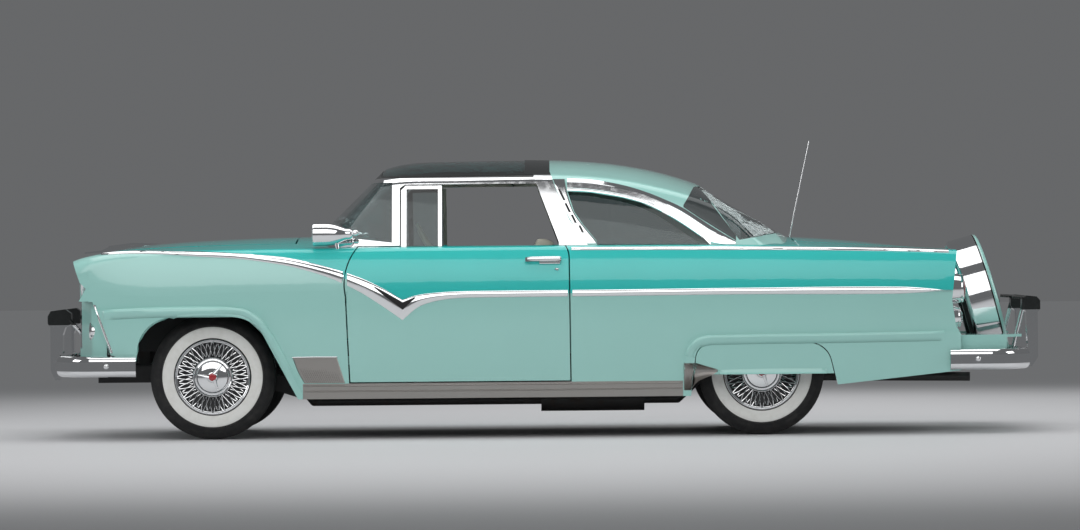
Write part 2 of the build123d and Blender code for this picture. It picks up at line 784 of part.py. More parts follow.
with BuildPart() as quarter_panels:
    add(skin.part)
    with Locations((DOOR_REAR_X - 60, 0, 0)):
        Box(3000, 2400, 2400, align=(Align.MIN, Align.CENTER, Align.CENTER), mode=Mode.INTERSECT)
    with BuildSketch(Plane.XZ):
        add(door_gap_sketch)
        add(skirt_hole_sketch)
        add(tail_cut_sketch)
    extrude(amount=1200, both=True, mode=Mode.SUBTRACT)
    with BuildSketch(Plane.XY.offset(900)):
        add(lid_hole_sketch)
    extrude(amount=300, mode=Mode.SUBTRACT)
    with Locations((DOOR_REAR_X - 100, 0, 0)):
        Box(3000, 1500, 800, align=(Align.MIN, Align.CENTER, Align.MIN), mode=Mode.SUBTRACT)
    with Locations((DOOR_REAR_X - 100, 0, 900)):
        Box(DECK_FRONT_X - DOOR_REAR_X + 100, 1600, 400, align=(Align.MIN, Align.CENTER, Align.MIN), mode=Mode.SUBTRACT)
    with Locations((DOOR_REAR_X - 100, 0, 0)):
        Box(ROCKER_REAR_X - DOOR_REAR_X + 100, 2400, SILL_TOP_Z, align=(Align.MIN, Align.CENTER, Align.MIN),
            mode=Mode.SUBTRACT)
    Box(2 * LENGTH, 2 * (LID_HALF + GAP), 4000, mode=Mode.SUBTRACT)
    add(rear_deck.part)
save(quarter_panels.part, "quarter_panels")

skirt_laps = lap(
    (REAR_AXLE - 60, REAR_AXLE + 60, 750, 1000, 430, 480),
    (REAR_AXLE - 60, REAR_AXLE + 60, 750, 1000, 430, 515),
)
with BuildPart() as skirts:
    add(skin.part)
    with BuildSketch(Plane.XZ):
        add(skirt_sketch)
    extrude(amount=1200, both=True, mode=Mode.INTERSECT)
    Box(2 * LENGTH, 1500, 3000, mode=Mode.SUBTRACT)
    add(skirt_laps)
save(skirts.part, "skirts")

TAIL_PLATE_X = TAIL_X - 50
BOOT_FLOOR_Z = 492.0
with BuildPart() as lid_space:
    with Locations((TAIL_PLATE_X, 0, 900)):
        Box(100, 2 * LID_HALF + 2 * GAP, 400, align=(Align.CENTER, Align.CENTER, Align.MIN))
    add(lap_deep_hull, mode=Mode.SUBTRACT)
with BuildPart() as tail_panel:
    add(lining_hull)
    with Locations((TAIL_PLATE_X, 0, BOOT_FLOOR_Z - 12)):
        Box(12, 2400, 900, align=(Align.MIN, Align.CENTER, Align.MIN), mode=Mode.INTERSECT)
    add(lid_space.part, mode=Mode.SUBTRACT)
save(tail_panel.part, "tail_panel")

# Sills under the doors
with BuildPart() as rockers:
    add(outer_hull)
    add(thick_hull, mode=Mode.SUBTRACT)
    with Locations((ROCKER_FRONT_X, 0, SILL_Z)):
        Box(ROCKER_REAR_X - ROCKER_FRONT_X, 2400, SILL_TOP_Z - SILL_Z, align=(Align.MIN, Align.CENTER, Align.MIN),
            mode=Mode.INTERSECT)
    Box(2 * LENGTH, 1500, 3000, mode=Mode.SUBTRACT)
save(rockers.part, "rockers")

# Floor, with the tunnels over the gearbox, the shaft and the rear wheels
WELL_RADIUS = 392.0
WELL_INNER = 565.0
FLOOR_THICKNESS = 12.0
floor_line = (
    (FIREWALL_X, FLOOR_TOP_Z),
    (REAR_AXLE - 700, FLOOR_TOP_Z),
    (REAR_AXLE - 600, 432),
    (REAR_AXLE - 380, BOOT_FLOOR_Z),
    (TAIL_PLATE_X - SEAT_GAP, BOOT_FLOOR_Z),
)
floor_lower_line = tuple((x, z - FLOOR_THICKNESS) for x, z in reversed(floor_line))
floor_inner_hull = hull(DOOR_THICKNESS + SEAT_GAP)
with BuildPart() as floor_plate:
    with BuildSketch(Plane.XZ):
        with BuildLine():
            Polyline(*floor_line, *floor_lower_line, close=True)
        make_face()
    extrude(amount=1000, both=True)
    with Locations((FIREWALL_X, 0, FLOOR_TOP_Z - FLOOR_THICKNESS)):
        Box(420, 2 * TUNNEL_HALF, TUNNEL_HIGH - FLOOR_TOP_Z + FLOOR_THICKNESS,
            align=(Align.MIN, Align.CENTER, Align.MIN))
        Box(REAR_AXLE - 600 - FIREWALL_X, 2 * SHAFT_TUNNEL_HALF, SHAFT_TUNNEL_HIGH - FLOOR_TOP_Z + FLOOR_THICKNESS,
            align=(Align.MIN, Align.CENTER, Align.MIN))
    with Locations((FIREWALL_X - 1, 0, 0)):
        Box(409, 2 * TUNNEL_HALF - 24, TUNNEL_HIGH - 12, align=(Align.MIN, Align.CENTER, Align.MIN),
            mode=Mode.SUBTRACT)
        Box(REAR_AXLE - 560 - FIREWALL_X, 2 * SHAFT_TUNNEL_HALF - 24, SHAFT_TUNNEL_HIGH - 12,
            align=(Align.MIN, Align.CENTER, Align.MIN), mode=Mode.SUBTRACT)
    add(floor_inner_hull, mode=Mode.INTERSECT)

with BuildPart() as wheel_wells:
    with BuildSketch(Plane.XZ.offset(WELL_INNER)):
        with Locations((REAR_AXLE, TYRE_RADIUS)):
            Circle(WELL_RADIUS)
    extrude(amount=500)
    with BuildSketch(Plane.XZ.offset(WELL_INNER + 8)):
        with Locations((REAR_AXLE, TYRE_RADIUS)):
            Circle(WELL_RADIUS - 8)
    extrude(amount=500, mode=Mode.SUBTRACT)
    mirror(about=Plane.XZ)
    add(lining_hull, mode=Mode.INTERSECT)
    Box(2 * LENGTH, 2400, 2 * BOOT_FLOOR_Z - 24, mode=Mode.SUBTRACT)

with BuildPart() as well_holes:
    with BuildSketch(Plane.XZ.offset(WELL_INNER + 8)):
        with Locations((REAR_AXLE, TYRE_RADIUS)):
            Circle(WELL_RADIUS - 8)
            Rectangle(2 * WELL_RADIUS - 16, 400, align=(Align.CENTER, Align.MAX))
    extrude(amount=500)
    mirror(about=Plane.XZ)

with BuildPart() as well_spaces:
    with BuildSketch(Plane.XZ.offset(WELL_INNER - SEAT_GAP)):
        with Locations((REAR_AXLE, TYRE_RADIUS)):
            Circle(WELL_RADIUS + SEAT_GAP)
    extrude(amount=500)
    mirror(about=Plane.XZ)

with BuildPart() as floor_pan:
    add(floor_plate.part)
    add(well_holes.part, mode=Mode.SUBTRACT)
    add(well_spaces.part, mode=Mode.SUBTRACT)
    add(wheel_wells.part)
save(floor_pan.part, "floor_pan")

# Chassis: two box rails that rise over the rear axle, and the members between them
RAIL_INNER = 380.0
RAIL_TOP_Z = FLOOR_TOP_Z - FLOOR_THICKNESS - SEAT_GAP
RAIL_WIDTH = 70.0
with BuildPart() as chassis_frame:
    with BuildSketch(Plane.XZ.offset(RAIL_INNER)):
        with BuildLine():
            Polyline(
                (FRONT_AXLE - 640, 300),
                (FRONT_AXLE - 640, 390),
                (FRONT_AXLE + 180, 390),
                (FRONT_AXLE + 480, RAIL_TOP_Z),
                (REAR_AXLE - 480, RAIL_TOP_Z),
                (REAR_AXLE - 220, 470),
                (REAR_AXLE + 240, 470),
                (REAR_AXLE + 520, 430),
                (REAR_AXLE + 1100, 430),
                (REAR_AXLE + 1100, 360),
                (REAR_AXLE + 500, 360),
                (REAR_AXLE + 220, 395),
                (REAR_AXLE - 200, 395),
                (REAR_AXLE - 460, 205),
                (FRONT_AXLE + 460, 205),
                (FRONT_AXLE + 160, 300),
                close=True,
            )
        make_face()
    extrude(amount=RAIL_WIDTH)
    mirror(about=Plane.XZ)
    members = (
        (FRONT_AXLE - 560, 345),
        (FRONT_AXLE, 345),
        (FRONT_AXLE + 900, 245),
        (REAR_AXLE - 560, 245),
        (REAR_AXLE + 360, 405),
        (REAR_AXLE + 1050, 395),
    )
    for x, z in members:
        with Locations((x, 0, z)):
            Box(90, 2 * RAIL_INNER + 10, 60)
save(chassis_frame.part, "chassis_frame")

# Engine, radiator and gearbox as plain blocks, with the shaft to the rear axle
with BuildPart() as engine_block:
    with Locations((FRONT_AXLE + 110, 0, 640)):
        Box(680, 520, 430)
    with Locations((FRONT_AXLE + 110, 0, 390)):
        Box(80, 2 * RAIL_INNER - 2 * SEAT_GAP, 80)
    with Locations((FRONT_AXLE + 630, 0, 380)):
        Box(380, 230, 220)
    with Locations((FRONT_AXLE - 400, 0, 620)):
        Box(60, 620, 440)
    with Locations(Location((FRONT_AXLE - 300, 0, 620), (0, 90, 0))):
        Cylinder(45, 160)
save(engine_block.part, "engine_block")

AXLE_TUBE_RADIUS = 38.0
HUB_BORE = 24.0
with BuildPart() as rear_axle:
    with Locations(Location((REAR_AXLE, 0, TYRE_RADIUS), (90, 0, 0))):
        Cylinder(AXLE_TUBE_RADIUS, REAR_TRACK - 130)
        Cylinder(HUB_BORE - SEAT_GAP, REAR_TRACK + 20)
        Sphere(125)
    with Locations(Location((REAR_AXLE - 130, 0, TYRE_RADIUS), (0, 90, 0))):
        Cylinder(50, 120)
    shaft_start = FRONT_AXLE + 820 + SEAT_GAP
    shaft_end = REAR_AXLE - 160
    with Locations(Location(((shaft_start + shaft_end) / 2, 0, 350), (0, 90, 0))):
        Cylinder(32, shaft_end - shaft_start)
    spring = (
        (REAR_AXLE - 590, 330),
        (REAR_AXLE - 300, 262),
        (REAR_AXLE, 250),
        (REAR_AXLE + 320, 275),
        (REAR_AXLE + 680, 352),
        (REAR_AXLE + 680, 366),
        (REAR_AXLE + 320, 300),
        (REAR_AXLE, 298),
        (REAR_AXLE - 300, 290),
        (REAR_AXLE - 590, 344),
    )
    with BuildSketch(Plane.XZ.offset(478)):
        with BuildLine():
            Polyline(*spring, close=True)
        make_face()
    extrude(amount=58)
    with BuildSketch(Plane.XZ.offset(-478)):
        with BuildLine():
            Polyline(*spring, close=True)
        make_face()
    extrude(amount=-58)
    for x, z in ((REAR_AXLE - 575, 337), (REAR_AXLE + 660, 362)):
        for y in (-500, 500):
            with Locations((x, y, z)):
                Box(30, 2 * (500 - RAIL_INNER - RAIL_WIDTH - SEAT_GAP), 26)
save(rear_axle.part, "rear_axle")

PIPE_Y = 310.0
with BuildPart() as exhaust:
    with BuildLine() as pipe_path:
        Polyline(
            (FRONT_AXLE + 330, -PIPE_Y, 420),
            (FRONT_AXLE + 520, -PIPE_Y, 185),
            (REAR_AXLE - 440, -PIPE_Y, 185),
            (REAR_AXLE - 180, -PIPE_Y, 425),
            (REAR_AXLE + 120, -PIPE_Y, 425),
            (REAR_AXLE + 280, -PIPE_Y, 300),
            (REAR_AXLE + 1150, -PIPE_Y, 290),
        )
    with BuildSketch(Plane(origin=pipe_path.line @ 0, z_dir=pipe_path.line % 0)):
        Circle(24)
    sweep(transition=Transition.ROUND)
    with Locations(Location((REAR_AXLE - 900, -PIPE_Y, 185), (0, 90, 0))):
        Cylinder(62, 560)
    with Locations((REAR_AXLE - 900, SEAT_GAP - RAIL_INNER, 232)):
        Box(30, 40, 20, align=(Align.CENTER, Align.MIN, Align.CENTER))
save(exhaust.part, "exhaust")

with BuildPart() as fuel_tank:
    with Locations((REAR_AXLE + 700, 60, BOOT_FLOOR_Z - FLOOR_THICKNESS - SEAT_GAP)):
        Box(560, 560, 150, align=(Align.CENTER, Align.CENTER, Align.MAX))
    fillet(fuel_tank.edges().filter_by(Axis.Z), radius=40)
save(fuel_tank.part, "fuel_tank")

# Front suspension on the body and the turning knuckles
KINGPIN_HALF = 632.0
KINGPIN_RADIUS = 18.0
ARM_TABLE = (
    # height, inner half length, outer half length
    (248, 115, 34),
    (430, 85, 30),
)
with BuildPart() as front_suspension:
    for z, inner, outer in ARM_TABLE:
        with BuildSketch(Plane.XY.offset(z)):
            with BuildLine():
                Polyline(
                    (FRONT_AXLE - inner, -RAIL_INNER - RAIL_WIDTH - SEAT_GAP),
                    (FRONT_AXLE + inner, -RAIL_INNER - RAIL_WIDTH - SEAT_GAP),
                    (FRONT_AXLE + outer, -KINGPIN_HALF + KINGPIN_RADIUS + SEAT_GAP),
                    (FRONT_AXLE - outer, -KINGPIN_HALF + KINGPIN_RADIUS + SEAT_GAP),
                    close=True,
                )
            make_face()
        extrude(amount=24)
    with Locations((FRONT_AXLE, -520, 270)):
        Cylinder(48, 162, align=(Align.CENTER, Align.CENTER, Align.MIN))
    with Locations((FRONT_AXLE, -RAIL_INNER - RAIL_WIDTH - SEAT_GAP, 248)):
        Box(170, 20, 206, align=(Align.CENTER, Align.MAX, Align.MIN))
    mirror(about=Plane.XZ)
save(front_suspension.part, "front_suspension")

with BuildPart() as knuckle_left:
    with Locations((FRONT_AXLE, -KINGPIN_HALF, 242)):
        Cylinder(KINGPIN_RADIUS, 220, align=(Align.CENTER, Align.CENTER, Align.MIN))
    with Locations(Location((FRONT_AXLE, -KINGPIN_HALF, TYRE_RADIUS), (90, 0, 0))):
        Cylinder(HUB_BORE - SEAT_GAP, FRONT_TRACK / 2 - KINGPIN_HALF + 10, align=(Align.CENTER, Align.CENTER, Align.MIN))
    with Locations((FRONT_AXLE, -KINGPIN_HALF, TYRE_RADIUS)):
        Box(56, 30, 120)
save(knuckle_left.part, "knuckle_left")

with BuildPart() as knuckle_right:
    add(mirror(knuckle_left.part, about=Plane.XZ))
save(knuckle_right.part, "knuckle_right")

# Wheels: a tyre and a pressed rim with its round cover, drawn about their own axle
TYRE_WIDTH = 170.0
RIM_RADIUS = 203.0
WHEEL_PLACES = (
    # name, lengthwise place, place across
    ("fl", FRONT_AXLE, -FRONT_TRACK / 2),
    ("fr", FRONT_AXLE, FRONT_TRACK / 2),
    ("rl", REAR_AXLE, -REAR_TRACK / 2),
    ("rr", REAR_AXLE, REAR_TRACK / 2),
)
with BuildPart() as tyre:
    with BuildSketch(Plane.XZ):
        with BuildLine():
            half = TYRE_WIDTH / 2
            Line((RIM_RADIUS, -half + 16), (RIM_RADIUS, half - 16))
            ThreePointArc((RIM_RADIUS, half - 16), (RIM_RADIUS + 45, half), (RIM_RADIUS + 98, half - 14))
            ThreePointArc((RIM_RADIUS + 98, half - 14), (TYRE_RADIUS - 12, half - 32), (TYRE_RADIUS - 2, 45))
            ThreePointArc((TYRE_RADIUS - 2, 45), (TYRE_RADIUS, 0), (TYRE_RADIUS - 2, -45))
            ThreePointArc((TYRE_RADIUS - 2, -45), (TYRE_RADIUS - 12, -half + 32), (RIM_RADIUS + 98, -half + 14))
            ThreePointArc((RIM_RADIUS + 98, -half + 14), (RIM_RADIUS + 45, -half), (RIM_RADIUS, -half + 16))
        make_face()
    revolve(axis=Axis.Z)

with BuildPart() as wheel:
    with BuildSketch(Plane.XZ):
        with BuildLine():
            Polyline(
                (HUB_BORE, -30),
                (95, -30),
                (120, 30),
                (172, 30),
                (178, -60),
                (RIM_RADIUS - SEAT_GAP, -66),
                (RIM_RADIUS - SEAT_GAP, 66),
                (RIM_RADIUS - 6, 78),
                (RIM_RADIUS - 18, 74),
                (170, 52),
                (112, 44),
                (98, 74),
                (60, 84),
                (29, 86),
                (25, 98),
                (0, 102),
                (0, 40),
                (HUB_BORE, 40),
                close=True,
            )
        make_face()
    revolve(axis=Axis.Z)

for name, x, y in WHEEL_PLACES:
    turn = 90 if y < 0 else -90
    place = Location((x, y, TYRE_RADIUS), (turn, 0, 0))
    with BuildPart() as placed_tyre:
        add(tyre.part.moved(place))
    save(placed_tyre.part, f"tyre_{name}")
    with BuildPart() as placed_wheel:
        add(wheel.part.moved(place))
    save(placed_wheel.part, f"wheel_{name}")

# Bumpers: a bar that wraps round each end, with upright guards
BUMPER_LOW = 340.0
BUMPER_HIGH = 452.0
BUMPER_THICKNESS = 14.0
GUARD_HALF_SPAN = 350.0


def bumper_points(end_x, sign, half, inset):
    """Plan-view outline of a bumper bar whose middle faces along sign."""
    return (
        (end_x, -half + inset),
        (end_x + sign * 320, -half + 14 + inset),
        (end_x + sign * (442 - inset), -700),
        (end_x + sign * (456 - inset), 0),
        (end_x + sign * (442 - inset), 700),
        (end_x + sign * 320, half - 14 - inset),
        (end_x, half - inset),
    )


def bumper_bar(end_x, sign, half):
    """The bar with rounded upper and lower edges, hollow and open to the inside and at its ends."""
    tall = BUMPER_HIGH - BUMPER_LOW
    thick = BUMPER_THICKNESS
    outer = outline_of(bumper_points(end_x, sign, half, 0), ((1, 170), (5, 170)))
    inner = outline_of(bumper_points(end_x - sign * 5, sign, half, thick), ((1, 155), (5, 155)))
    deep = outline_of(bumper_points(end_x - sign * 5, sign, half, 46), ((1, 125), (5, 125)))
    with BuildPart() as bar:
        with BuildSketch(Plane.XY.offset(BUMPER_LOW)):
            add(outer)
        extrude(amount=tall)
        rims = bar.faces().filter_by(Axis.Z).edges().filter_by(lambda e: abs(e.center().X - end_x) > 1)
        fillet(rims, radius=32)
        with BuildSketch(Plane.XY.offset(BUMPER_LOW + thick)):
            add(inner)
        extrude(amount=tall - 2 * thick, mode=Mode.SUBTRACT)
        with BuildSketch(Plane.XY.offset(BUMPER_LOW - 5)):
            add(deep)
        extrude(amount=tall + 10, mode=Mode.SUBTRACT)
    return bar.part


FRONT_BAR_END_X = FRONT_AXLE - 400
REAR_BAR_END_X = REAR_AXLE + 1000
FRONT_BAR_HALF = 955.0
REAR_BAR_HALF = 940.0
BAR_LIP = 25.0
front_bar = bumper_bar(FRONT_BAR_END_X, -1, FRONT_BAR_HALF)
rear_bar = bumper_bar(REAR_BAR_END_X, 1, REAR_BAR_HALF)

FRONT_BAR_X = FRONT_AXLE - 856
REAR_BAR_X = REAR_AXLE + 1456
GUARD_WIDTH = 96.0
BRACE_HALF_SPAN = 388.0
BRACE_NOTCH = 32.0
front_guard_line = (
    (FRONT_BAR_X + 4, 316),
    (FRONT_BAR_X - 24, 316),
    (-LENGTH / 2 + 14, 372),
    (-LENGTH / 2 + 14, 604),
    (-LENGTH / 2, 624),
    (-LENGTH / 2, 660),
    (-LENGTH / 2 + 18, 690),
    (-LENGTH / 2 + 96, 700),
    (-LENGTH / 2 + 128, 676),
    (-LENGTH / 2 + 128, 620),
    (-LENGTH / 2 + 96, 600),
    (-LENGTH / 2 + 82, 560),
    (-LENGTH / 2 + 82, 452),
    (FRONT_BAR_X + 4, 452),
)
rear_guard_line = (
    (REAR_BAR_X - 4, 344),
    (REAR_BAR_X + 24, 344),
    (LENGTH / 2 - 14, 396),
    (LENGTH / 2 - 14, 640),
    (LENGTH / 2, 656),
    (LENGTH / 2, 700),
    (LENGTH / 2 - 20, 722),
    (LENGTH / 2 - 76, 728),
    (LENGTH / 2 - 100, 706),
    (LENGTH / 2 - 100, 664),
    (LENGTH / 2 - 78, 640),
    (LENGTH / 2 - 70, 452),
    (REAR_BAR_X - 4, 452),
)
GUARD_ROUNDS = 34.0
BRACE_TABLE = (
    # end of the car, upper end's place and height, lower end's place and height, radius
    ("front", -LENGTH / 2 + 120, 640, FRONT_AXLE - 590, 412, 11),
    ("rear", LENGTH / 2 - 88, 690, REAR_AXLE + 1372, 420, 11),
    ("rear", LENGTH / 2 - 60, 716, REAR_AXLE + 1380, 722, 9),
)


def guards(line):
    """The two upright guards of one bumper, from their side-view outline."""
    with BuildPart() as pair:
        for y in (-GUARD_HALF_SPAN, GUARD_HALF_SPAN):
            with BuildSketch(Plane.XZ.offset(-y - GUARD_WIDTH / 2)):
                with BuildLine():
                    Polyline(*line, close=True)
                make_face()
            extrude(amount=GUARD_WIDTH)
        outward = max((point[0] for point in line), key=abs)
        front_edges = pair.edges().filter_by(lambda e: abs(e.center().X) > abs(outward) - 22)
        fillet(front_edges.filter_by(Axis.Z), radius=12)
    return pair.part


def braces(end):
    """The slanting bars beside the guards of one end."""
    solids = []
    for name, high_x, high_z, low_x, low_z, radius in BRACE_TABLE:
        for y in (-BRACE_HALF_SPAN, BRACE_HALF_SPAN):
            if name == end:
                with BuildPart() as bar:
                    with BuildLine() as path:
                        Line((high_x, y, high_z), (low_x, y, low_z))
                    with BuildSketch(Plane(origin=path.line @ 0, z_dir=path.line % 0)):
                        Circle(radius)
                    sweep()
                solids.append(bar.part)
    return solids


front_guards = guards(front_guard_line)
rear_guards = guards(rear_guard_line)
front_braces = braces("front")
rear_braces = braces("rear")

# Body-coloured tray between the tail and the rear bumper, open in the middle for the spare wheel
TRAY_HIGH = 525.0
SPARE_HALF_GAP = 375.0
tray_sketch = outline_of(
    (
        (TAIL_X + 14.3, -872),
        (REAR_AXLE + 1290, -850),
        (REAR_AXLE + 1400, -690),
        (REAR_AXLE + 1425, -SPARE_HALF_GAP),
        (REAR_AXLE + 1425, SPARE_HALF_GAP),
        (REAR_AXLE + 1400, 690),
        (REAR_AXLE + 1290, 850),
        (TAIL_X + 14.3, 872),
    ),
    ((1, 120), (6, 120)),
)
with BuildPart() as bumper_tray:
    with BuildSketch(Plane.XY.offset(BUMPER_LOW + 10)):
        add(tray_sketch)
    extrude(amount=TRAY_HIGH - BUMPER_LOW - 10)
    with BuildSketch(Plane.XY.offset(BUMPER_LOW)):
        with Locations((TAIL_X - 100, 0)):
            Rectangle(600, 2 * SPARE_HALF_GAP, align=(Align.MIN, Align.CENTER))
    extrude(amount=500, mode=Mode.SUBTRACT)
    with Locations((TAIL_X - 100, 0, BUMPER_LOW)):
        Box(600, 1640, TRAY_HIGH - BUMPER_LOW - 14, align=(Align.MIN, Align.CENTER, Align.MIN), mode=Mode.SUBTRACT)
    for y in (-BRACE_HALF_SPAN, BRACE_HALF_SPAN):
        with Locations((REAR_BAR_X - 60, y, TRAY_HIGH)):
            Box(70, BRACE_NOTCH, 60, mode=Mode.SUBTRACT)
save(bumper_tray.part, "bumper_tray")

# Spare wheel in its cover, leaning on a bracket that tips back
SPARE_RADIUS = 345.0
SPARE_WIDTH = 172.0
SPARE_LEAN = 15.3
SPARE_X = REAR_AXLE + 1219
SPARE_Z = 712.0
PIVOT_X = REAR_AXLE + 1150
PIVOT_Z = 377.0
CARRIER_PLATE_Z = 357.0
CARRIER_PLATE_REAR_X = REAR_AXLE + 1325
spare_place = Location((SPARE_X, 0, SPARE_Z), (0, 90 - SPARE_LEAN, 0))
with BuildPart() as spare_cover_flat:
    Cylinder(SPARE_RADIUS, SPARE_WIDTH)
    fillet(spare_cover_flat.edges(), radius=22)
with BuildPart() as spare_cover:
    add(spare_cover_flat.part.moved(spare_place))
save(spare_cover.part, "spare_cover")
with BuildPart() as carrier_arms:
    for y in (-130, 130):
        with Locations((-20, y, -SPARE_WIDTH / 2)):
            Box(372, 44, 12, align=(Align.MIN, Align.CENTER, Align.MAX))
with BuildPart() as spare_carrier:
    add(carrier_arms.part.moved(spare_place))
    with Locations((PIVOT_X, 0, CARRIER_PLATE_Z)):
        Box(CARRIER_PLATE_REAR_X - PIVOT_X, 420, 14, align=(Align.MIN, Align.CENTER, Align.MAX))
    for y in (-160, 160):
        with Locations((PIVOT_X, y, PIVOT_Z)):
            Box(24, 60, 2 * (PIVOT_Z - CARRIER_PLATE_Z) + 14)
    with Locations(Location((PIVOT_X, 0, PIVOT_Z), (90, 0, 0))):
        Cylinder(10, 2 * (RAIL_INNER + 5 - SEAT_GAP))
    add(spare_cover.part, mode=Mode.SUBTRACT)
save(spare_carrier.part, "spare_carrier")

with BuildPart() as front_bumper:
    add(front_bar)
    with Locations((FRONT_BAR_END_X, 0, BUMPER_LOW)):
        Box(300, 2 * (FRONT_BAR_HALF - BAR_LIP), 400, mode=Mode.SUBTRACT)
    add(front_guards)
    for brace in front_braces:
        add(brace)
    with Locations((FRONT_BAR_X - 4, 0, (BUMPER_LOW + BUMPER_HIGH) / 2)):
        Box(12, 2 * GUARD_HALF_SPAN, 60)
    for y in (-RAIL_INNER - 35, RAIL_INNER + 35):
        with Locations((FRONT_BAR_X + 8, y, 345)):
            Box(FRONT_AXLE - 640 - FRONT_BAR_X - 8 - SEAT_GAP, 60, 30, align=(Align.MIN, Align.CENTER, Align.MIN))
save(front_bumper.part, "front_bumper")

with BuildPart() as rear_bumper:
    add(rear_bar)
    with Locations((REAR_BAR_END_X, 0, BUMPER_LOW)):
        Box(160, 2 * (REAR_BAR_HALF - BAR_LIP), 400, mode=Mode.SUBTRACT)
    add(rear_guards)
    for brace in rear_braces:
        add(brace)
    with Locations((REAR_BAR_X + 4, 0, (BUMPER_LOW + BUMPER_HIGH) / 2)):
        Box(12, 2 * GUARD_HALF_SPAN, 60)
    for y in (-RAIL_INNER - 35, RAIL_INNER + 35):
        with Locations((REAR_BAR_X - 8, y, 362)):
            Box(REAR_BAR_X - 8 - REAR_AXLE - 1100 - SEAT_GAP, 60, 30, align=(Align.MAX, Align.CENTER, Align.MIN))
save(rear_bumper.part, "rear_bumper")

# Nose: the panel under the bonnet's lip with its grille and lamps
NOSE_FRONT_X = FRONT_AXLE - 748
GRILLE_HALF = 600.0
GRILLE_LOW = 490.0
GRILLE_HIGH = 742.0
LAMP_HALF_SPAN = 770.0
LAMP_Z = 862.0
LAMP_RADIUS = 112.0
LAMP_INNER = 648.0


def nose_points(inset):
    """Plan-view outline of the nose, its front moved back by inset."""
    return (
        (FRONT_AXLE - 560, 862 - inset),
        (FRONT_AXLE - 640 + inset, 800 - inset),
        (NOSE_FRONT_X + 20 + inset, 560),
        (NOSE_FRONT_X + inset, 0),
        (NOSE_FRONT_X + 20 + inset, -560),
        (FRONT_AXLE - 640 + inset, -800 + inset),
        (FRONT_AXLE - 560, -862 + inset),
    )


nose_rounds = ((1, 90), (2, 160), (4, 160), (5, 90))
nose_outer_sketch = outline_of(nose_points(0), nose_rounds)
nose_inner_sketch = outline_of(nose_points(WALL), nose_rounds)
nose_deep_sketch = outline_of(nose_points(45), nose_rounds)
with BuildPart() as nose_panel:
    with BuildSketch(Plane.XY.offset(430)):
        add(nose_outer_sketch)
        add(nose_inner_sketch, mode=Mode.SUBTRACT)
    extrude(amount=520)
    with Locations((NOSE_FRONT_X, 0, (GRILLE_LOW + GRILLE_HIGH) / 2)):
        Box(300, 2 * GRILLE_HALF, GRILLE_HIGH - GRILLE_LOW, mode=Mode.SUBTRACT)
    with Locations((FRONT_AXLE - 600, 0, 745)):
        Box(600, 3000, 400, align=(Align.CENTER, Align.CENTER, Align.MIN), mode=Mode.SUBTRACT)
with BuildPart() as nose_top:
    with BuildSketch(Plane.XY.offset(745)):
        add(nose_outer_sketch)
        add(nose_inner_sketch, mode=Mode.SUBTRACT)
    extrude(amount=205)
    Box(2 * LENGTH, 2 * LAMP_INNER - 2 * SEAT_GAP, 4000, mode=Mode.INTERSECT)
with BuildPart() as nose_whole:
    add(nose_panel.part)
    add(nose_top.part)
save(nose_whole.part, "nose_panel")

with BuildPart() as grille:
    with BuildSketch(Plane.XY.offset(GRILLE_LOW + SEAT_GAP)):
        add(nose_outer_sketch)
        add(nose_deep_sketch, mode=Mode.SUBTRACT)
    extrude(amount=GRILLE_HIGH - GRILLE_LOW - 2 * SEAT_GAP)
    Box(2 * LENGTH, 2 * GRILLE_HALF - 2 * SEAT_GAP, 4000, mode=Mode.INTERSECT)
    bay_count = 8
    bay_width = 2 * GRILLE_HALF / bay_count
    bay_height = (GRILLE_HIGH - GRILLE_LOW) / 3
    for row in range(3):
        for bay in range(bay_count):
            y = -GRILLE_HALF + (bay + 0.5) * bay_width
            z = GRILLE_LOW + (row + 0.5) * bay_height
            with Locations((NOSE_FRONT_X, y, z)):
                Box(400, bay_width - 20, bay_height - 18, mode=Mode.SUBTRACT)
    for y in (-BRACE_HALF_SPAN, BRACE_HALF_SPAN):
        with Locations((NOSE_FRONT_X, y, GRILLE_LOW + bay_height)):
            Box(400, BRACE_NOTCH, 24, mode=Mode.SUBTRACT)
save(grille.part, "grille")

# Lamps: hoods that carry on the front wings, round lamps behind, their lenses together as one piece
HOOD_BACK_X = FENDER_FRONT_X - SEAT_GAP
with BuildPart() as headlamps:
    with Locations((HOOD_BACK_X, LAMP_INNER, 745 + SEAT_GAP)):
        Box(300, 400, 400, align=(Align.MAX, Align.MIN, Align.MIN))
    mirror(about=Plane.XZ)
    add(outer_hull, mode=Mode.INTERSECT)
    with BuildSketch(Plane.XZ):
        with BuildLine():
            Polyline(
                (HOOD_BACK_X + 5, 745),
                (FRONT_AXLE - 706, 745),
                (FRONT_AXLE - 668, 812),
                (FRONT_AXLE - 700, 845),
                (FRONT_AXLE - 741, 962),
                (FRONT_AXLE - 700, 1100),
                (HOOD_BACK_X + 5, 1100),
                close=True,
            )
        make_face()
    extrude(amount=1200, both=True, mode=Mode.INTERSECT)
    for y in (-LAMP_HALF_SPAN, LAMP_HALF_SPAN):
        with Locations(Location((HOOD_BACK_X - 8, y, LAMP_Z), (0, -90, 0))):
            Cylinder(LAMP_RADIUS - 12, 300, align=(Align.CENTER, Align.CENTER, Align.MIN), mode=Mode.SUBTRACT)
save(headlamps.part, "headlamps")

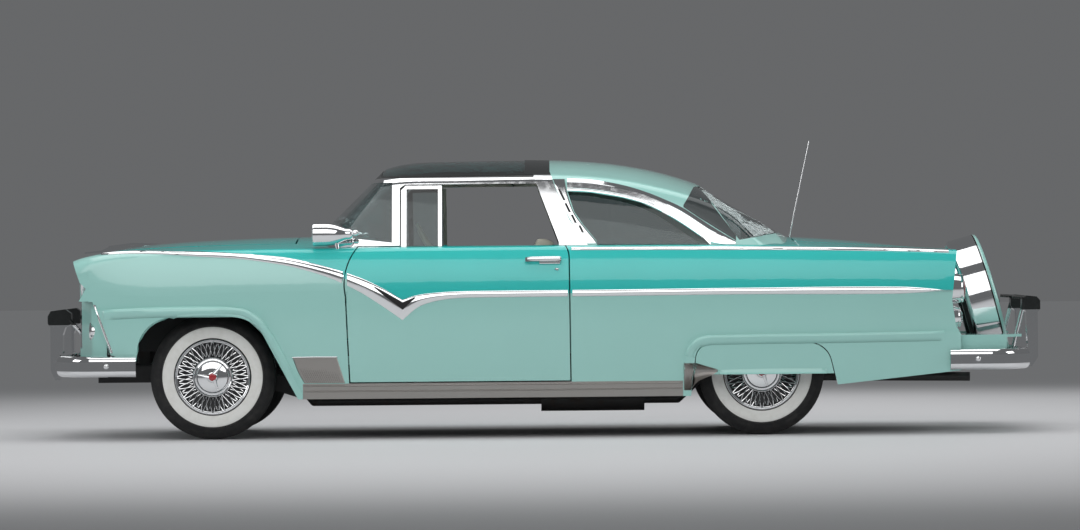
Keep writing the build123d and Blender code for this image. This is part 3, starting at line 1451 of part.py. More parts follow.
TAIL_LAMP_Z = 772.0
TAIL_LAMP_HALF_SPAN = 796.0
TAIL_LAMP_DEPTH = 62.0
TAIL_LAMP_BACK_X = TAIL_PLATE_X + 12 + SEAT_GAP
with BuildPart() as tail_lamps:
    for y in (-TAIL_LAMP_HALF_SPAN, TAIL_LAMP_HALF_SPAN):
        with Locations(Location((TAIL_LAMP_BACK_X, y, TAIL_LAMP_Z), (0, 90, 0))):
            Cone(86, 74, TAIL_LAMP_DEPTH, align=(Align.CENTER, Align.CENTER, Align.MIN))
        with Locations(Location((TAIL_LAMP_BACK_X, y, TAIL_LAMP_Z - 152), (0, 90, 0))):
            Cone(64, 52, 46, align=(Align.CENTER, Align.CENTER, Align.MIN))
save(tail_lamps.part, "tail_lamps")

with BuildPart() as lamp_lenses:
    for y in (-LAMP_HALF_SPAN, LAMP_HALF_SPAN):
        with Locations(Location((HOOD_BACK_X - 8 - SEAT_GAP, y, LAMP_Z), (0, -90, 0))):
            Cylinder(LAMP_RADIUS - 12 - SEAT_GAP, 20, align=(Align.CENTER, Align.CENTER, Align.MIN))
    for y in (-TAIL_LAMP_HALF_SPAN, TAIL_LAMP_HALF_SPAN):
        with Locations(Location((TAIL_LAMP_BACK_X + TAIL_LAMP_DEPTH + SEAT_GAP, y, TAIL_LAMP_Z), (0, 90, 0))):
            Cone(58, 34, 20, align=(Align.CENTER, Align.CENTER, Align.MIN))
save(lamp_lenses.part, "lamp_lenses")

# Cabin
SEAT_HALF = 690.0
FRONT_CUSHION = (
    (DOOR_FRONT_X + 440, 366),
    (DOOR_FRONT_X + 425, 500),
    (DOOR_FRONT_X + 470, 535),
    (DOOR_FRONT_X + 880, 500),
    (DOOR_FRONT_X + 850, 366),
)
FRONT_BACK = (
    (DOOR_FRONT_X + 850 + SEAT_GAP, 366),
    (DOOR_FRONT_X + 880 + SEAT_GAP, 500),
    (DOOR_FRONT_X + 1010, 1030),
    (DOOR_FRONT_X + 1080, 1045),
    (DOOR_FRONT_X + 1120, 1000),
    (DOOR_FRONT_X + 1010, 366),
)
REAR_CUSHION = (
    (REAR_AXLE - 760, 200),
    (REAR_AXLE - 775, 480),
    (REAR_AXLE - 730, 520),
    (REAR_AXLE - 400, 510),
    (REAR_AXLE - 480, 200),
)
REAR_BACK = (
    (REAR_AXLE - 480 + SEAT_GAP, 200),
    (REAR_AXLE - 400 + SEAT_GAP, 510),
    (REAR_AXLE - 270, 960),
    (REAR_AXLE - 170, 980),
    (REAR_AXLE - 250, 200),
)


def seat(line):
    """One cushion or back as wide as the bench, from its side view."""
    with BuildPart() as pad:
        with BuildSketch(Plane.XZ):
            with BuildLine():
                Polyline(*line, close=True)
            make_face()
        extrude(amount=SEAT_HALF, both=True)
        fillet(pad.edges().filter_by(Axis.Y).group_by(Axis.Z)[-1], radius=20)
    return pad.part


with BuildPart() as seat_clearance:
    with BuildSketch(Plane.XZ):
        with BuildLine():
            raised_line = tuple((x, z + SEAT_GAP) for x, z in floor_line)
            Polyline((FIREWALL_X, 0), *raised_line, (TAIL_PLATE_X - SEAT_GAP, 0), close=True)
        make_face()
    extrude(amount=SEAT_HALF + 10, both=True)
    add(well_spaces.part)
    Box(2 * LENGTH, 2 * SHAFT_TUNNEL_HALF + 2 * SEAT_GAP, 2 * SHAFT_TUNNEL_HIGH + 2 * SEAT_GAP)

front_cushion = seat(FRONT_CUSHION)
front_back = seat(FRONT_BACK)
rear_cushion = seat(REAR_CUSHION)
rear_back = seat(REAR_BACK)
with BuildPart() as front_seat:
    add(front_cushion)
    with Locations((DOOR_FRONT_X + 640, 0, FLOOR_TOP_Z)):
        Box(400, 1100, 80, align=(Align.CENTER, Align.CENTER, Align.MIN))
    add(front_back)
    add(seat_clearance.part, mode=Mode.SUBTRACT)
save(front_seat.part, "front_seat")

with BuildPart() as rear_seat:
    add(rear_cushion)
    add(rear_back)
    add(seat_clearance.part, mode=Mode.SUBTRACT)
save(rear_seat.part, "rear_seat")

STEER_X = DOOR_FRONT_X + 470
STEER_Y = -370.0
STEER_Z = 950.0
STEER_TILT = 28.0
STEER_RADIUS = 215.0
steer_place = Location((STEER_X, STEER_Y, STEER_Z), (0, 90 - STEER_TILT, 0))
with BuildPart() as steering_wheel_flat:
    with BuildSketch(Plane.XZ):
        with Locations((STEER_RADIUS, 0)):
            Circle(11)
    revolve(axis=Axis.Z)
    Cylinder(34, 46, align=(Align.CENTER, Align.CENTER, Align.MAX))
    for angle in (0, 120, 240):
        with Locations(Location((0, 0, -14), (0, 0, angle + 30))):
            Box(STEER_RADIUS, 26, 9, align=(Align.MIN, Align.CENTER, Align.CENTER))
with BuildPart() as steering_wheel:
    add(steering_wheel_flat.part.moved(steer_place))
save(steering_wheel.part, "steering_wheel")

with BuildPart() as dashboard:
    with BuildSketch(Plane.XZ):
        with BuildLine():
            Polyline(
                (FIREWALL_X + 12 + SEAT_GAP, 760),
                (FIREWALL_X + 12 + SEAT_GAP, 985),
                (DOOR_FRONT_X + 20, 995),
                (DOOR_FRONT_X + 100, 970),
                (DOOR_FRONT_X + 120, 900),
                (DOOR_FRONT_X + 80, 790),
                (DOOR_FRONT_X + 40, 760),
                close=True,
            )
        make_face()
    extrude(amount=PILLAR_HALF - SEAT_GAP, both=True)
    fillet(dashboard.edges().filter_by(Axis.Y).group_by(Axis.X)[-1], radius=30)
save(dashboard.part, "dashboard")

with BuildPart() as column_flat:
    with Locations((0, 0, -46 - SEAT_GAP)):
        Cylinder(26, 520, align=(Align.CENTER, Align.CENTER, Align.MAX))
with BuildPart() as steering_column:
    add(column_flat.part.moved(steer_place))
    with Locations((DOOR_FRONT_X + 70, STEER_Y, 735)):
        Box(50, 60, 80, align=(Align.CENTER, Align.CENTER, Align.MIN))
    with BuildSketch(Plane.XZ):
        with BuildLine():
            Polyline(
                (FIREWALL_X, 760 - SEAT_GAP),
                (DOOR_FRONT_X + 40 + SEAT_GAP, 760 - SEAT_GAP),
                (DOOR_FRONT_X + 80 + SEAT_GAP, 790),
                (DOOR_FRONT_X + 120, 900),
                (FIREWALL_X, 900),
                close=True,
            )
        make_face()
    extrude(amount=1000, both=True, mode=Mode.SUBTRACT)
save(steering_column.part, "steering_column")

# Small fittings outside
with BuildPart() as hood_ornament:
    with BuildSketch(Plane.XZ):
        with BuildLine():
            Polyline(
                (BONNET_TIP_X, 999),
                (BONNET_TIP_X, 1008),
                (BONNET_TIP_X + 93, 1018),
                (BONNET_TIP_X + 150, 1044),
                (BONNET_TIP_X + 260, 1058),
                (BONNET_TIP_X + 425, 1052),
                (BONNET_TIP_X + 300, 1036),
                (BONNET_TIP_X + 268, 1000),
                (BONNET_TIP_X + 148, 980),
                (BONNET_TIP_X + 138, 1008),
                (BONNET_TIP_X + 93, 1006),
                close=True,
            )
        make_face()
    extrude(amount=15, both=True)
    with BuildSketch(Plane.XY.offset(1034)):
        with BuildLine():
            Polyline(
                (BONNET_TIP_X + 130, 0),
                (BONNET_TIP_X + 210, 58),
                (BONNET_TIP_X + 330, 84),
                (BONNET_TIP_X + 300, 30),
                (BONNET_TIP_X + 390, 0),
                (BONNET_TIP_X + 300, -30),
                (BONNET_TIP_X + 330, -84),
                (BONNET_TIP_X + 210, -58),
                close=True,
            )
        make_face()
    extrude(amount=9)
    add(above_hull, mode=Mode.SUBTRACT)
save(hood_ornament.part, "hood_ornament")

ANTENNA_X = REAR_AXLE + 216
with BuildPart() as antenna:
    with BuildLine() as mast_path:
        Line((ANTENNA_X, 780, 1012), (ANTENNA_X + 128, 780, 1600))
    with BuildSketch(Plane(origin=mast_path.line @ 0, z_dir=mast_path.line % 0)):
        Circle(4)
    sweep()
    with Locations((ANTENNA_X, 780, 990)):
        Cylinder(26, 60, align=(Align.CENTER, Align.CENTER, Align.MIN))
    add(above_hull, mode=Mode.SUBTRACT)
save(antenna.part, "antenna")

LIGHT_X = FRONT_AXLE + 618
LIGHT_Y = -872.0
LIGHT_Z = 1092.0
with BuildPart() as spotlights:
    with Locations(Location((LIGHT_X, LIGHT_Y, LIGHT_Z), (0, 90, 0))):
        Cylinder(61, 70, align=(Align.CENTER, Align.CENTER, Align.MAX))
        Cone(61, 26, 118, align=(Align.CENTER, Align.CENTER, Align.MIN))
        with Locations((0, 0, 118)):
            Sphere(26)
    with BuildSketch(Plane.XZ.offset(-LIGHT_Y)):
        with BuildLine():
            Polyline(
                (LIGHT_X + 50, 1050),
                (LIGHT_X + 90, 1050),
                (LIGHT_X + 96, 960),
                (LIGHT_X + 64, 960),
                close=True,
            )
        make_face()
    extrude(amount=12, both=True)
    add(above_hull, mode=Mode.SUBTRACT)
    mirror(about=Plane.XZ)
save(spotlights.part, "spotlights")

# Door trim: the vent window's frame and the pull handle
HANDLE_Z = 948.0
with BuildPart() as handle:
    with Locations((DOOR_REAR_X - 135, -956, HANDLE_Z)):
        Box(190, 14, 22)
    for x in (-215, -55):
        with Locations((DOOR_REAR_X + x, -940, HANDLE_Z)):
            Box(22, 30, 20)
    add(above_hull, mode=Mode.SUBTRACT)

with BuildPart() as door_trim_left:
    add(vent_frame_left.part)
    add(handle.part)
save(door_trim_left.part, "door_trim_left")

with BuildPart() as door_trim_right:
    add(mirror(door_trim_left.part, about=Plane.XZ))
save(door_trim_right.part, "door_trim_right")

# Inner aprons between the engine and the front wheels
APRON_HALF = 462.0
with BuildPart() as front_aprons:
    with Locations((FRONT_AXLE - 520, -APRON_HALF, 470)):
        Box(FIREWALL_X - FRONT_AXLE + 520 - SEAT_GAP, 8, 450, align=(Align.MIN, Align.MIN, Align.MIN))
    with Locations((FRONT_AXLE - 520, -APRON_HALF, 912)):
        Box(FIREWALL_X - FRONT_AXLE + 520 - SEAT_GAP, 600, 8, align=(Align.MIN, Align.MAX, Align.MIN))
    mirror(about=Plane.XZ)
    add(lining_hull, mode=Mode.INTERSECT)
save(front_aprons.part, "front_aprons")
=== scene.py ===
"""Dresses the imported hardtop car: paint, trim, wheels, lamps and cabin, with the floor, lights and camera."""

from __future__ import annotations

import json
import logging
import math
from dataclasses import dataclass, field
from enum import Enum

import bmesh
import bpy
from mathutils import Matrix, Vector
from mathutils.bvhtree import BVHTree

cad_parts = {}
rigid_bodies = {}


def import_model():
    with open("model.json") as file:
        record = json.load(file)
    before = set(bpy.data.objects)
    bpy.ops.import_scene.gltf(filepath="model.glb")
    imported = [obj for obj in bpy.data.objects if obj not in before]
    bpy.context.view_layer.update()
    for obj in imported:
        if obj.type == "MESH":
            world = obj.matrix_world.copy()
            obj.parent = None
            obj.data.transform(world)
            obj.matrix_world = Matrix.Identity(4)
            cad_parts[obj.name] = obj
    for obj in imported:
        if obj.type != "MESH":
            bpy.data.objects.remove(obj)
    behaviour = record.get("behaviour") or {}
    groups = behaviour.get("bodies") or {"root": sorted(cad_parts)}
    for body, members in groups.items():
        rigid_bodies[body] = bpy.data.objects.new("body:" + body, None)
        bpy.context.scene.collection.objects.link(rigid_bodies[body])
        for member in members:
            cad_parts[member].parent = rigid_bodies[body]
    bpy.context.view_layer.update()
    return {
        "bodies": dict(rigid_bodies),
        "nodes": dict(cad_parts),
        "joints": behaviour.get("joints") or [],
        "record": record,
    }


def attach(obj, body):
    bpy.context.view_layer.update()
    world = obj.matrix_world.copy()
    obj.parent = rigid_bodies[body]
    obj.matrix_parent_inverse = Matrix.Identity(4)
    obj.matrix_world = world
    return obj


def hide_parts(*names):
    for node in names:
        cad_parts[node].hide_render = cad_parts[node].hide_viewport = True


LOG = logging.getLogger("hardtop")
Point = tuple[float, float]
Row = tuple[float, float, float]
Colour = tuple[float, float, float]
Profile = tuple[Point, ...]
Rows = tuple[Row, ...]
Mesh = bmesh.types.BMesh

AHEAD = Vector((-1.0, 0.0, 0.0))
BEHIND = Vector((1.0, 0.0, 0.0))
EVEN: Row = (1.0, 1.0, 1.0)
# The height of the wheels' axles, and how near two corners are to be one, in metres
AXLE_HIGH = 0.335
SAME = 0.00001
# The angles past which an edge stays sharp on soft sheet, and on padding, where none does
SOFT = 1.2
PADDED = 3.2


class Side(Enum):
    """The car's two sides; the value is the sign of Y."""

    LEFT = -1
    RIGHT = 1

    @property
    def word(self) -> str:
        """The side's name in the names of pieces."""
        return self.name.lower()

    @property
    def inward(self) -> Vector:
        """The direction in which a drawing is laid on this side."""
        return Vector((0.0, -float(self.value), 0.0))

    def at(self, along: float, out: float, high: float) -> Vector:
        """A point on this side, with its distance out from the car's middle plane."""
        return Vector((along, self.value * out, high))


class Wheel(Enum):
    """The four wheels: the name of their CAD nodes, the middle's place along and across."""

    FRONT_LEFT = ("fl", -1.773, -0.7365)
    FRONT_RIGHT = ("fr", -1.773, 0.7365)
    REAR_LEFT = ("rl", 1.161, -0.711)
    REAR_RIGHT = ("rr", 1.161, 0.711)


@dataclass
class Value:
    """A shader value whose operators add Math nodes."""

    graph: "Graph"
    socket: bpy.types.NodeSocket

    def maths(
        self, operation: str, *others: "Value | float", first: "Value | float | None" = None
    ) -> "Value":
        """Adds one Math node.

        Args:
            operation: the node's operation.
            others: the values after the first.
            first: the first value, where it isn't this one.
        Returns:
            The node's result.
        """
        values = [self if first is None else first, *others]
        return self.graph.add("ShaderNodeMath", {"operation": operation}, dict(enumerate(values)))

    def __add__(self, other: "Value | float") -> "Value":
        """The sum."""
        return self.maths("ADD", other)

    __radd__ = __add__

    def __sub__(self, other: "Value | float") -> "Value":
        """This less the other."""
        return self.maths("SUBTRACT", other)

    def __rsub__(self, other: float) -> "Value":
        """The other less this."""
        return self.maths("SUBTRACT", self, first=other)

    def __mul__(self, other: "Value | float") -> "Value":
        """The product."""
        return self.maths("MULTIPLY", other)

    __rmul__ = __mul__

    def __truediv__(self, other: "Value | float") -> "Value":
        """This over the other."""
        return self.maths("DIVIDE", other)

    def __rtruediv__(self, other: float) -> "Value":
        """The other over this."""
        return self.maths("DIVIDE", self, first=other)

    def __abs__(self) -> "Value":
        """This without its sign."""
        return self.maths("ABSOLUTE")

    def root(self) -> "Value":
        """The square root."""
        return self.maths("SQRT")

    def sine(self) -> "Value":
        """The sine, of radians."""
        return self.maths("SINE")

    def at_least(self, other: "Value | float") -> "Value":
        """The larger of the two."""
        return self.maths("MAXIMUM", other)

    def rise(self, low: float, high: float) -> "Value":
        """0 below low and 1 above high, smooth between."""
        sockets = {"Value": self, "From Min": low, "From Max": high}
        return self.graph.add("ShaderNodeMapRange", {"interpolation_type": "SMOOTHSTEP"}, sockets)

    def between(self, low: float, high: float, soft: float) -> "Value":
        """1 between low and high, falling to 0 over soft on each side."""
        return self.rise(low - soft, low + soft) * (1 - self.rise(high - soft, high + soft))

    def ramp(self, stops: dict[float, float]) -> "Value":
        """A number read from a ramp of grey stops."""
        colours = {place: (grey, grey, grey) for place, grey in stops.items()}
        return self.graph.add("ShaderNodeValToRGB", {"stops": colours}, {0: self})


class Graph:
    """The node tree of one material, ending in one Principled shader."""

    def __init__(self, name: str) -> None:
        """Makes an empty material with its shader.

        Args:
            name: the material's name.
        """
        self.material = bpy.data.materials.new(name)
        self.material.use_nodes = True
        self.tree = self.material.node_tree
        self.shader = self.tree.nodes["Principled BSDF"]

    def add(
        self, kind: str, settings: dict | None = None, values: dict | None = None, output: int | str = 0
    ) -> Value:
        """Adds a node.

        Args:
            kind: the node's type.
            settings: its own settings, with a ramp's stops under "stops".
            values: what goes into each of its sockets.
            output: which result is wanted.
        Returns:
            That result.
        """
        node = self.tree.nodes.new(kind)
        for name, setting in (settings or {}).items():
            if name == "stops":
                self._stops(node.color_ramp, setting)
            else:
                setattr(node, name, setting)
        for name, value in (values or {}).items():
            self.put(node.inputs[name], value)
        return Value(self, node.outputs[output])

    @staticmethod
    def _stops(ramp: bpy.types.ColorRamp, stops: dict[float, Colour]) -> None:
        """Puts a ramp's stops in.

        Args:
            ramp: the ramp.
            stops: colours by place.
        """
        places = sorted(stops)
        while len(ramp.elements) < len(places):
            ramp.elements.new(1.0)
        for element, place in zip(ramp.elements, places):
            element.position = place
            element.color = (*stops[place], 1.0)

    def put(self, socket: bpy.types.NodeSocket, value: object) -> None:
        """Links or sets one socket.

        Args:
            socket: the socket.
            value: a Value to link, or a constant.
        """
        if isinstance(value, Value):
            self.tree.links.new(value.socket, socket)
        elif socket.type == "RGBA" and isinstance(value, tuple):
            socket.default_value = (*value, 1.0)
        else:
            socket.default_value = value

    def set(self, **values: object) -> None:
        """Fills the shader's sockets, named with _ for spaces."""
        for name, value in values.items():
            self.put(self.shader.inputs[name.replace("_", " ")], value)

    def place(self) -> Value:
        """The point in the car's own frame, as a vector."""
        return self.add("ShaderNodeTexCoord", output="Object")

    def axes(self) -> tuple[Value, Value, Value]:
        """The point's three coordinates, in metres."""
        place = self.place()
        return tuple(self.add("ShaderNodeSeparateXYZ", values={0: place}, output=i) for i in range(3))

    def from_axle(self, centre: Point) -> Value:
        """The distance from an axle that lies along Y.

        Args:
            centre: the axle's place along the car and its height.
        Returns:
            The distance.
        """
        along, _, height = self.axes()
        x, z = along - centre[0], height - centre[1]
        return (x * x + z * z).root()

    def smear(self) -> Value:
        """The faint smears on bright plate, from 0 to 1."""
        return self.noise(28.0, 4.0).rise(0.45, 0.75)

    def noise(self, scale: float, detail: float = 3.0, stretch: Row = EVEN) -> Value:
        """Noise from 0 to 1 about an object's own place.

        Args:
            scale: waves in a metre.
            detail: how many finer layers it has.
            stretch: factors along the three axes.
        Returns:
            The noise.
        """
        place = self.add("ShaderNodeMapping", values={"Vector": self.place(), "Scale": stretch})
        return self.add("ShaderNodeTexNoise", values={"Vector": place, "Scale": scale, "Detail": detail})

    def mix(self, share: Value | float, first: object, second: object) -> Value:
        """A colour between two colours.

        Args:
            share: 0 for the first and 1 for the second.
            first: the first colour.
            second: the second colour.
        Returns:
            The colour.
        """
        return self.add("ShaderNodeMix", {"data_type": "RGBA"}, {0: share, 6: first, 7: second}, 2)

    def bump(self, height: Value, depth: float, strength: float = 1.0) -> Value:
        """A normal from a height of 0 to 1 over a depth in metres."""
        return self.add("ShaderNodeBump", values={"Height": height, "Distance": depth, "Strength": strength})


# The colour of bright plate
BRIGHT: Colour = (0.86, 0.87, 0.88)


@dataclass(frozen=True)
class Finish:
    """A surface finish that makes its own material once."""

    name: str

    def fill(self, graph: Graph) -> None:
        """Fills the graph; each finish has its own."""
        raise NotImplementedError

    def material(self) -> bpy.types.Material:
        """The material, made when first asked for."""
        found = bpy.data.materials.get(self.name)
        if found is None:
            graph = Graph(self.name)
            self.fill(graph)
            found = graph.material
        return found


@dataclass(frozen=True)
class Paint(Finish):
    """Polished body paint, in one colour or in two that meet along a line on the car's side.

    The line is a table of places along the car and heights, both in metres.
    """

    colour: Colour
    upper: Colour | None = None
    line: Profile = ()
    edge: float = 0.0015

    def fill(self, graph: Graph) -> None:
        """Mixes the colour, a faint mottle and a deep clear coat."""
        mottle = graph.noise(3.0).rise(0.3, 0.7)
        colour = graph.mix(mottle, tuple(0.985 * c for c in self.colour), self.colour)
        if self.upper is not None:
            top = graph.mix(mottle, tuple(0.975 * c for c in self.upper), self.upper)
            colour = graph.mix(self._above(graph), colour, top)
        peel = graph.noise(420.0, 1.0)
        graph.set(
            Base_Color=colour,
            Roughness=graph.noise(9.0) * 0.05 + 0.3,
            Metallic=0.0,
            Specular_IOR_Level=0.5,
            Coat_Weight=1.0,
            Coat_Roughness=0.035,
            Coat_IOR=1.5,
            Normal=graph.bump(peel, 0.00002),
        )

    def _above(self, graph: Graph) -> Value:
        """1 above the line and 0 below it.

        Args:
            graph: the material's nodes.
        Returns:
            The mask.
        """
        along, _, height = graph.axes()
        low, high = self.line[0][0], self.line[-1][0]
        share = (along - low) / (high - low)
        stops = {(x - low) / (high - low): z / 2 for x, z in self.line}
        return (height - share.ramp(stops) * 2).rise(-self.edge, self.edge)


@dataclass(frozen=True)
class Chrome(Finish):
    """Bright plate with faint smears and cloudiness."""

    def fill(self, graph: Graph) -> None:
        """Fills the shader."""
        smear = graph.smear()
        pits = graph.noise(900.0, 2.0)
        graph.set(
            Base_Color=graph.mix(smear * 0.25, BRIGHT, tuple(0.93 * c for c in BRIGHT)),
            Metallic=1.0,
            Roughness=smear * 0.05 + 0.035,
            Normal=graph.bump(pits, 0.000004),
        )


@dataclass(frozen=True)
class Brushed(Finish):
    """Stainless sheet with its grain along the car."""

    tint: Colour = (0.40, 0.38, 0.36)

    def fill(self, graph: Graph) -> None:
        """Fills the shader."""
        grain = graph.noise(60.0, 3.0, (1.5, 60.0, 60.0))
        graph.set(
            Base_Color=graph.mix(grain, tuple(0.86 * c for c in self.tint), self.tint),
            Metallic=1.0,
            Roughness=grain * 0.16 + 0.24,
            Normal=graph.bump(grain, 0.00004, 0.5),
        )


@dataclass(frozen=True)
class Tyre(Finish):
    """Black rubber with a wide pale band on the wall, round an axle that lies along Y."""

    centre: Point
    band: Point = (0.207, 0.268)

    def fill(self, graph: Graph) -> None:
        """Fills the shader."""
        white = graph.from_axle(self.centre).between(*self.band, 0.0008)
        scuff = graph.noise(30.0, 5.0).rise(0.35, 0.8)
        rubber = graph.mix(scuff, (0.012, 0.012, 0.013), (0.03, 0.029, 0.028))
        wall = graph.mix(scuff * 0.6, (0.80, 0.80, 0.77), (0.70, 0.69, 0.65))
        graph.set(
            Base_Color=graph.mix(white, rubber, wall),
            Roughness=0.62 - white * 0.14 + scuff * 0.1,
            Specular_IOR_Level=0.4,
            Normal=graph.bump(graph.noise(700.0, 2.0), 0.00006),
        )


@dataclass(frozen=True)
class Dish(Finish):
    """A wheel's pressed cover: bright, with dark enamel behind the wires, round an axle that lies along Y."""

    centre: Point
    dark: Point = (0.099, 0.187)

    def fill(self, graph: Graph) -> None:
        """Fills the shader."""
        dark = graph.from_axle(self.centre).between(*self.dark, 0.001)
        graph.set(
            Base_Color=graph.mix(dark, BRIGHT, (0.035, 0.036, 0.038)),
            Metallic=1 - dark * 0.5,
            Roughness=graph.smear() * 0.05 + 0.04 + dark * 0.3,
        )


@dataclass(frozen=True)
class Glass(Finish):
    """Window glass or a clear panel with its tint."""

    tint: Colour
    roughness: float = 0.0

    def fill(self, graph: Graph) -> None:
        """Fills the shader."""
        haze = graph.noise(14.0, 4.0).rise(0.4, 0.8)
        graph.set(
            Base_Color=self.tint,
            Roughness=haze * 0.015 + self.roughness,
            IOR=1.5,
            Transmission_Weight=1.0,
            Coat_Weight=0.0,
        )


@dataclass(frozen=True)
class Lens(Finish):
    """Moulded lamp lens, ribbed round its own middle; the front ones are clear and the rear ones red."""

    front: Colour = (0.75, 0.78, 0.80)
    rear: Colour = (0.45, 0.008, 0.012)
    centre: Point = (0.796, 0.772)
    ribs: float = 520.0

    def fill(self, graph: Graph) -> None:
        """Fills the shader."""
        along, across, height = graph.axes()
        y, z = abs(across) - self.centre[0], height - self.centre[1]
        ring = ((y * y + z * z).root() * self.ribs).sine() * 0.5 + 0.5
        shade = graph.mix(ring * 0.3, self.rear, tuple(0.6 * c for c in self.rear))
        graph.set(
            Base_Color=graph.mix(along.rise(-0.1, 0.1), self.front, shade),
            Roughness=ring * 0.05 + 0.1,
            Transmission_Weight=0.35,
            Coat_Weight=1.0,
            Coat_Roughness=0.03,
            Normal=graph.bump(ring, 0.0012),
        )


@dataclass(frozen=True)
class Iron(Finish):
    """Rough dark metal underneath, with dust and a little rust."""

    colour: Colour = (0.045, 0.044, 0.043)
    rust: float = 0.15
    roughness: float = 0.55

    def fill(self, graph: Graph) -> None:
        """Fills the shader."""
        patch = graph.noise(18.0, 6.0).rise(0.5, 0.75)
        grit = graph.noise(260.0, 3.0)
        graph.set(
            Base_Color=graph.mix(patch * self.rust, self.colour, (0.16, 0.085, 0.05)),
            Roughness=patch * 0.25 + self.roughness,
            Metallic=0.2,
            Normal=graph.bump(grit, 0.0004),
        )


@dataclass(frozen=True)
class Vinyl(Finish):
    """Grained trim cloth or vinyl."""

    colour: Colour
    grain: float = 900.0
    roughness: float = 0.5

    def fill(self, graph: Graph) -> None:
        """Fills the shader."""
        sockets = {"Vector": graph.place(), "Scale": self.grain}
        crease = graph.add("ShaderNodeTexVoronoi", {"feature": "DISTANCE_TO_EDGE"}, sockets).rise(0.0, 0.12)
        soil = graph.noise(7.0, 4.0)
        graph.set(
            Base_Color=graph.mix(soil, tuple(0.88 * c for c in self.colour), self.colour),
            Roughness=self.roughness + soil * 0.1,
            Sheen_Weight=0.15,
            Normal=graph.bump(crease, 0.00025),
        )


@dataclass(frozen=True)
class PostPlate(Finish):
    """Bright plate below a height, with dark enamel above it that is a painted dark reflection, as on the
    roof's edge and the guards' heads.
    """

    height: float

    def fill(self, graph: Graph) -> None:
        """Fills the shader; the dark top is a painted reflection on plate that is bright all over."""
        # painted dark reflection: dark enamel above the height, on plate that is bright all over
        dark = graph.axes()[2].rise(self.height, self.height + 0.002)
        graph.set(
            Base_Color=graph.mix(dark, BRIGHT, (0.012, 0.014, 0.014)),
            Metallic=1 - dark,
            Roughness=graph.smear() * 0.05 + 0.04 + dark * 0.16,
        )


@dataclass(frozen=True)
class SpareShell(Finish):
    """The spare's cover: bright round its rim, with a dark seam and a painted rear face."""

    colour: Colour
    centre: Point = (2.38, 0.712)
    axis: Point = (0.9646, 0.2639)
    seam: Point = (0.058, 0.066)

    def fill(self, graph: Graph) -> None:
        """Fills the shader."""
        along, _, height = graph.axes()
        deep = (along - self.centre[0]) * self.axis[0] + (height - self.centre[1]) * self.axis[1]
        seam = deep.between(*self.seam, 0.0006)
        face = deep.rise(self.seam[1], self.seam[1] + 0.001)
        metal = graph.mix(seam, BRIGHT, (0.01, 0.01, 0.01))
        graph.set(
            Base_Color=graph.mix(face, metal, self.colour),
            Metallic=(1 - face) * (1 - seam),
            Roughness=graph.smear() * 0.05 + 0.04 + face * 0.26,
            Coat_Weight=face,
            Coat_Roughness=0.035,
        )


# Colours as the car shows them in plain light
TEAL: Colour = (0.014, 0.53, 0.49)
SEAFOAM: Colour = (0.33, 0.63, 0.575)

# The bright moulding down the car's side: place along the car, upper and lower edge, in metres
SPEAR: Rows = (
    (-2.361, 1.0010, 0.9930), (-2.202, 1.0085, 0.9980), (-2.042, 1.0083, 0.9939), (-1.830, 1.0063, 0.9787),
    (-1.617, 0.9937, 0.9645), (-1.404, 0.9759, 0.9333), (-1.297, 0.9563, 0.9100), (-1.137, 0.9149, 0.8590),
    (-0.978, 0.8600, 0.7829), (-0.844, 0.7950, 0.6966), (-0.752, 0.7400, 0.6310), (-0.658, 0.7668, 0.7056),
    (-0.498, 0.7813, 0.7413), (-0.232, 0.7844, 0.7471), (0.300, 0.7849, 0.7487), (1.099, 0.7881, 0.7508),
    (1.898, 0.7860, 0.7472), (2.172, 0.7660, 0.7620),
)
# The row at which the moulding turns back up in a point
SPEAR_TIP = 10
# The two paints meet under the middle of the moulding, and run on past its ends
PAINT_LINE: Profile = (
    (-2.7, 0.990), *((along, (top + low) / 2) for along, top, low in SPEAR), (2.7, 0.763),
)


def trace(rows: Rows, step: float, corners: tuple[int, ...] = ()) -> list[Vector]:
    """Rows of a smooth line through a table's rows.

    Args:
        rows: the table, whose first column grows.
        step: about how far apart the new rows are.
        corners: the rows at which the line turns sharply.
    Returns:
        The new rows.
    """
    points = [Vector(row) for row in rows]
    traced = [points[0]]
    for i, (start, end) in enumerate(zip(points, points[1:])):
        before = points[i - 1] if i and i not in corners else start
        after = points[i + 2] if i + 2 < len(points) and i + 1 not in corners else end
        run = end[0] - start[0]
        leave = (end - before) / (end[0] - before[0])
        arrive = (after - start) / (after[0] - start[0])
        count = max(1, round(abs(run) / step))
        for k in range(1, count + 1):
            t = k / count
            s2, s3 = t * t, t * t * t
            point = (2 * s3 - 3 * s2 + 1) * start + (s3 - 2 * s2 + t) * run * leave
            traced.append(point + (3 * s2 - 2 * s3) * end + (s3 - s2) * run * arrive)
    return traced


def cut(rows: list[Vector], low: float, high: float) -> list[Vector]:
    """The stretch of a traced line between two places, with its ends worked out.

    Args:
        rows: the traced line.
        low: where the stretch starts.
        high: where it ends.
    Returns:
        The stretch's rows.
    """
    def at(place: float) -> Vector:
        """The line's row at a place."""
        for start, end in zip(rows, rows[1:]):
            if start[0] <= place <= end[0]:
                return start.lerp(end, (place - start[0]) / max(1e-9, end[0] - start[0]))
        return rows[-1] if place > rows[-1][0] else rows[0]

    return [at(low), *(row for row in rows if low < row[0] < high), at(high)]


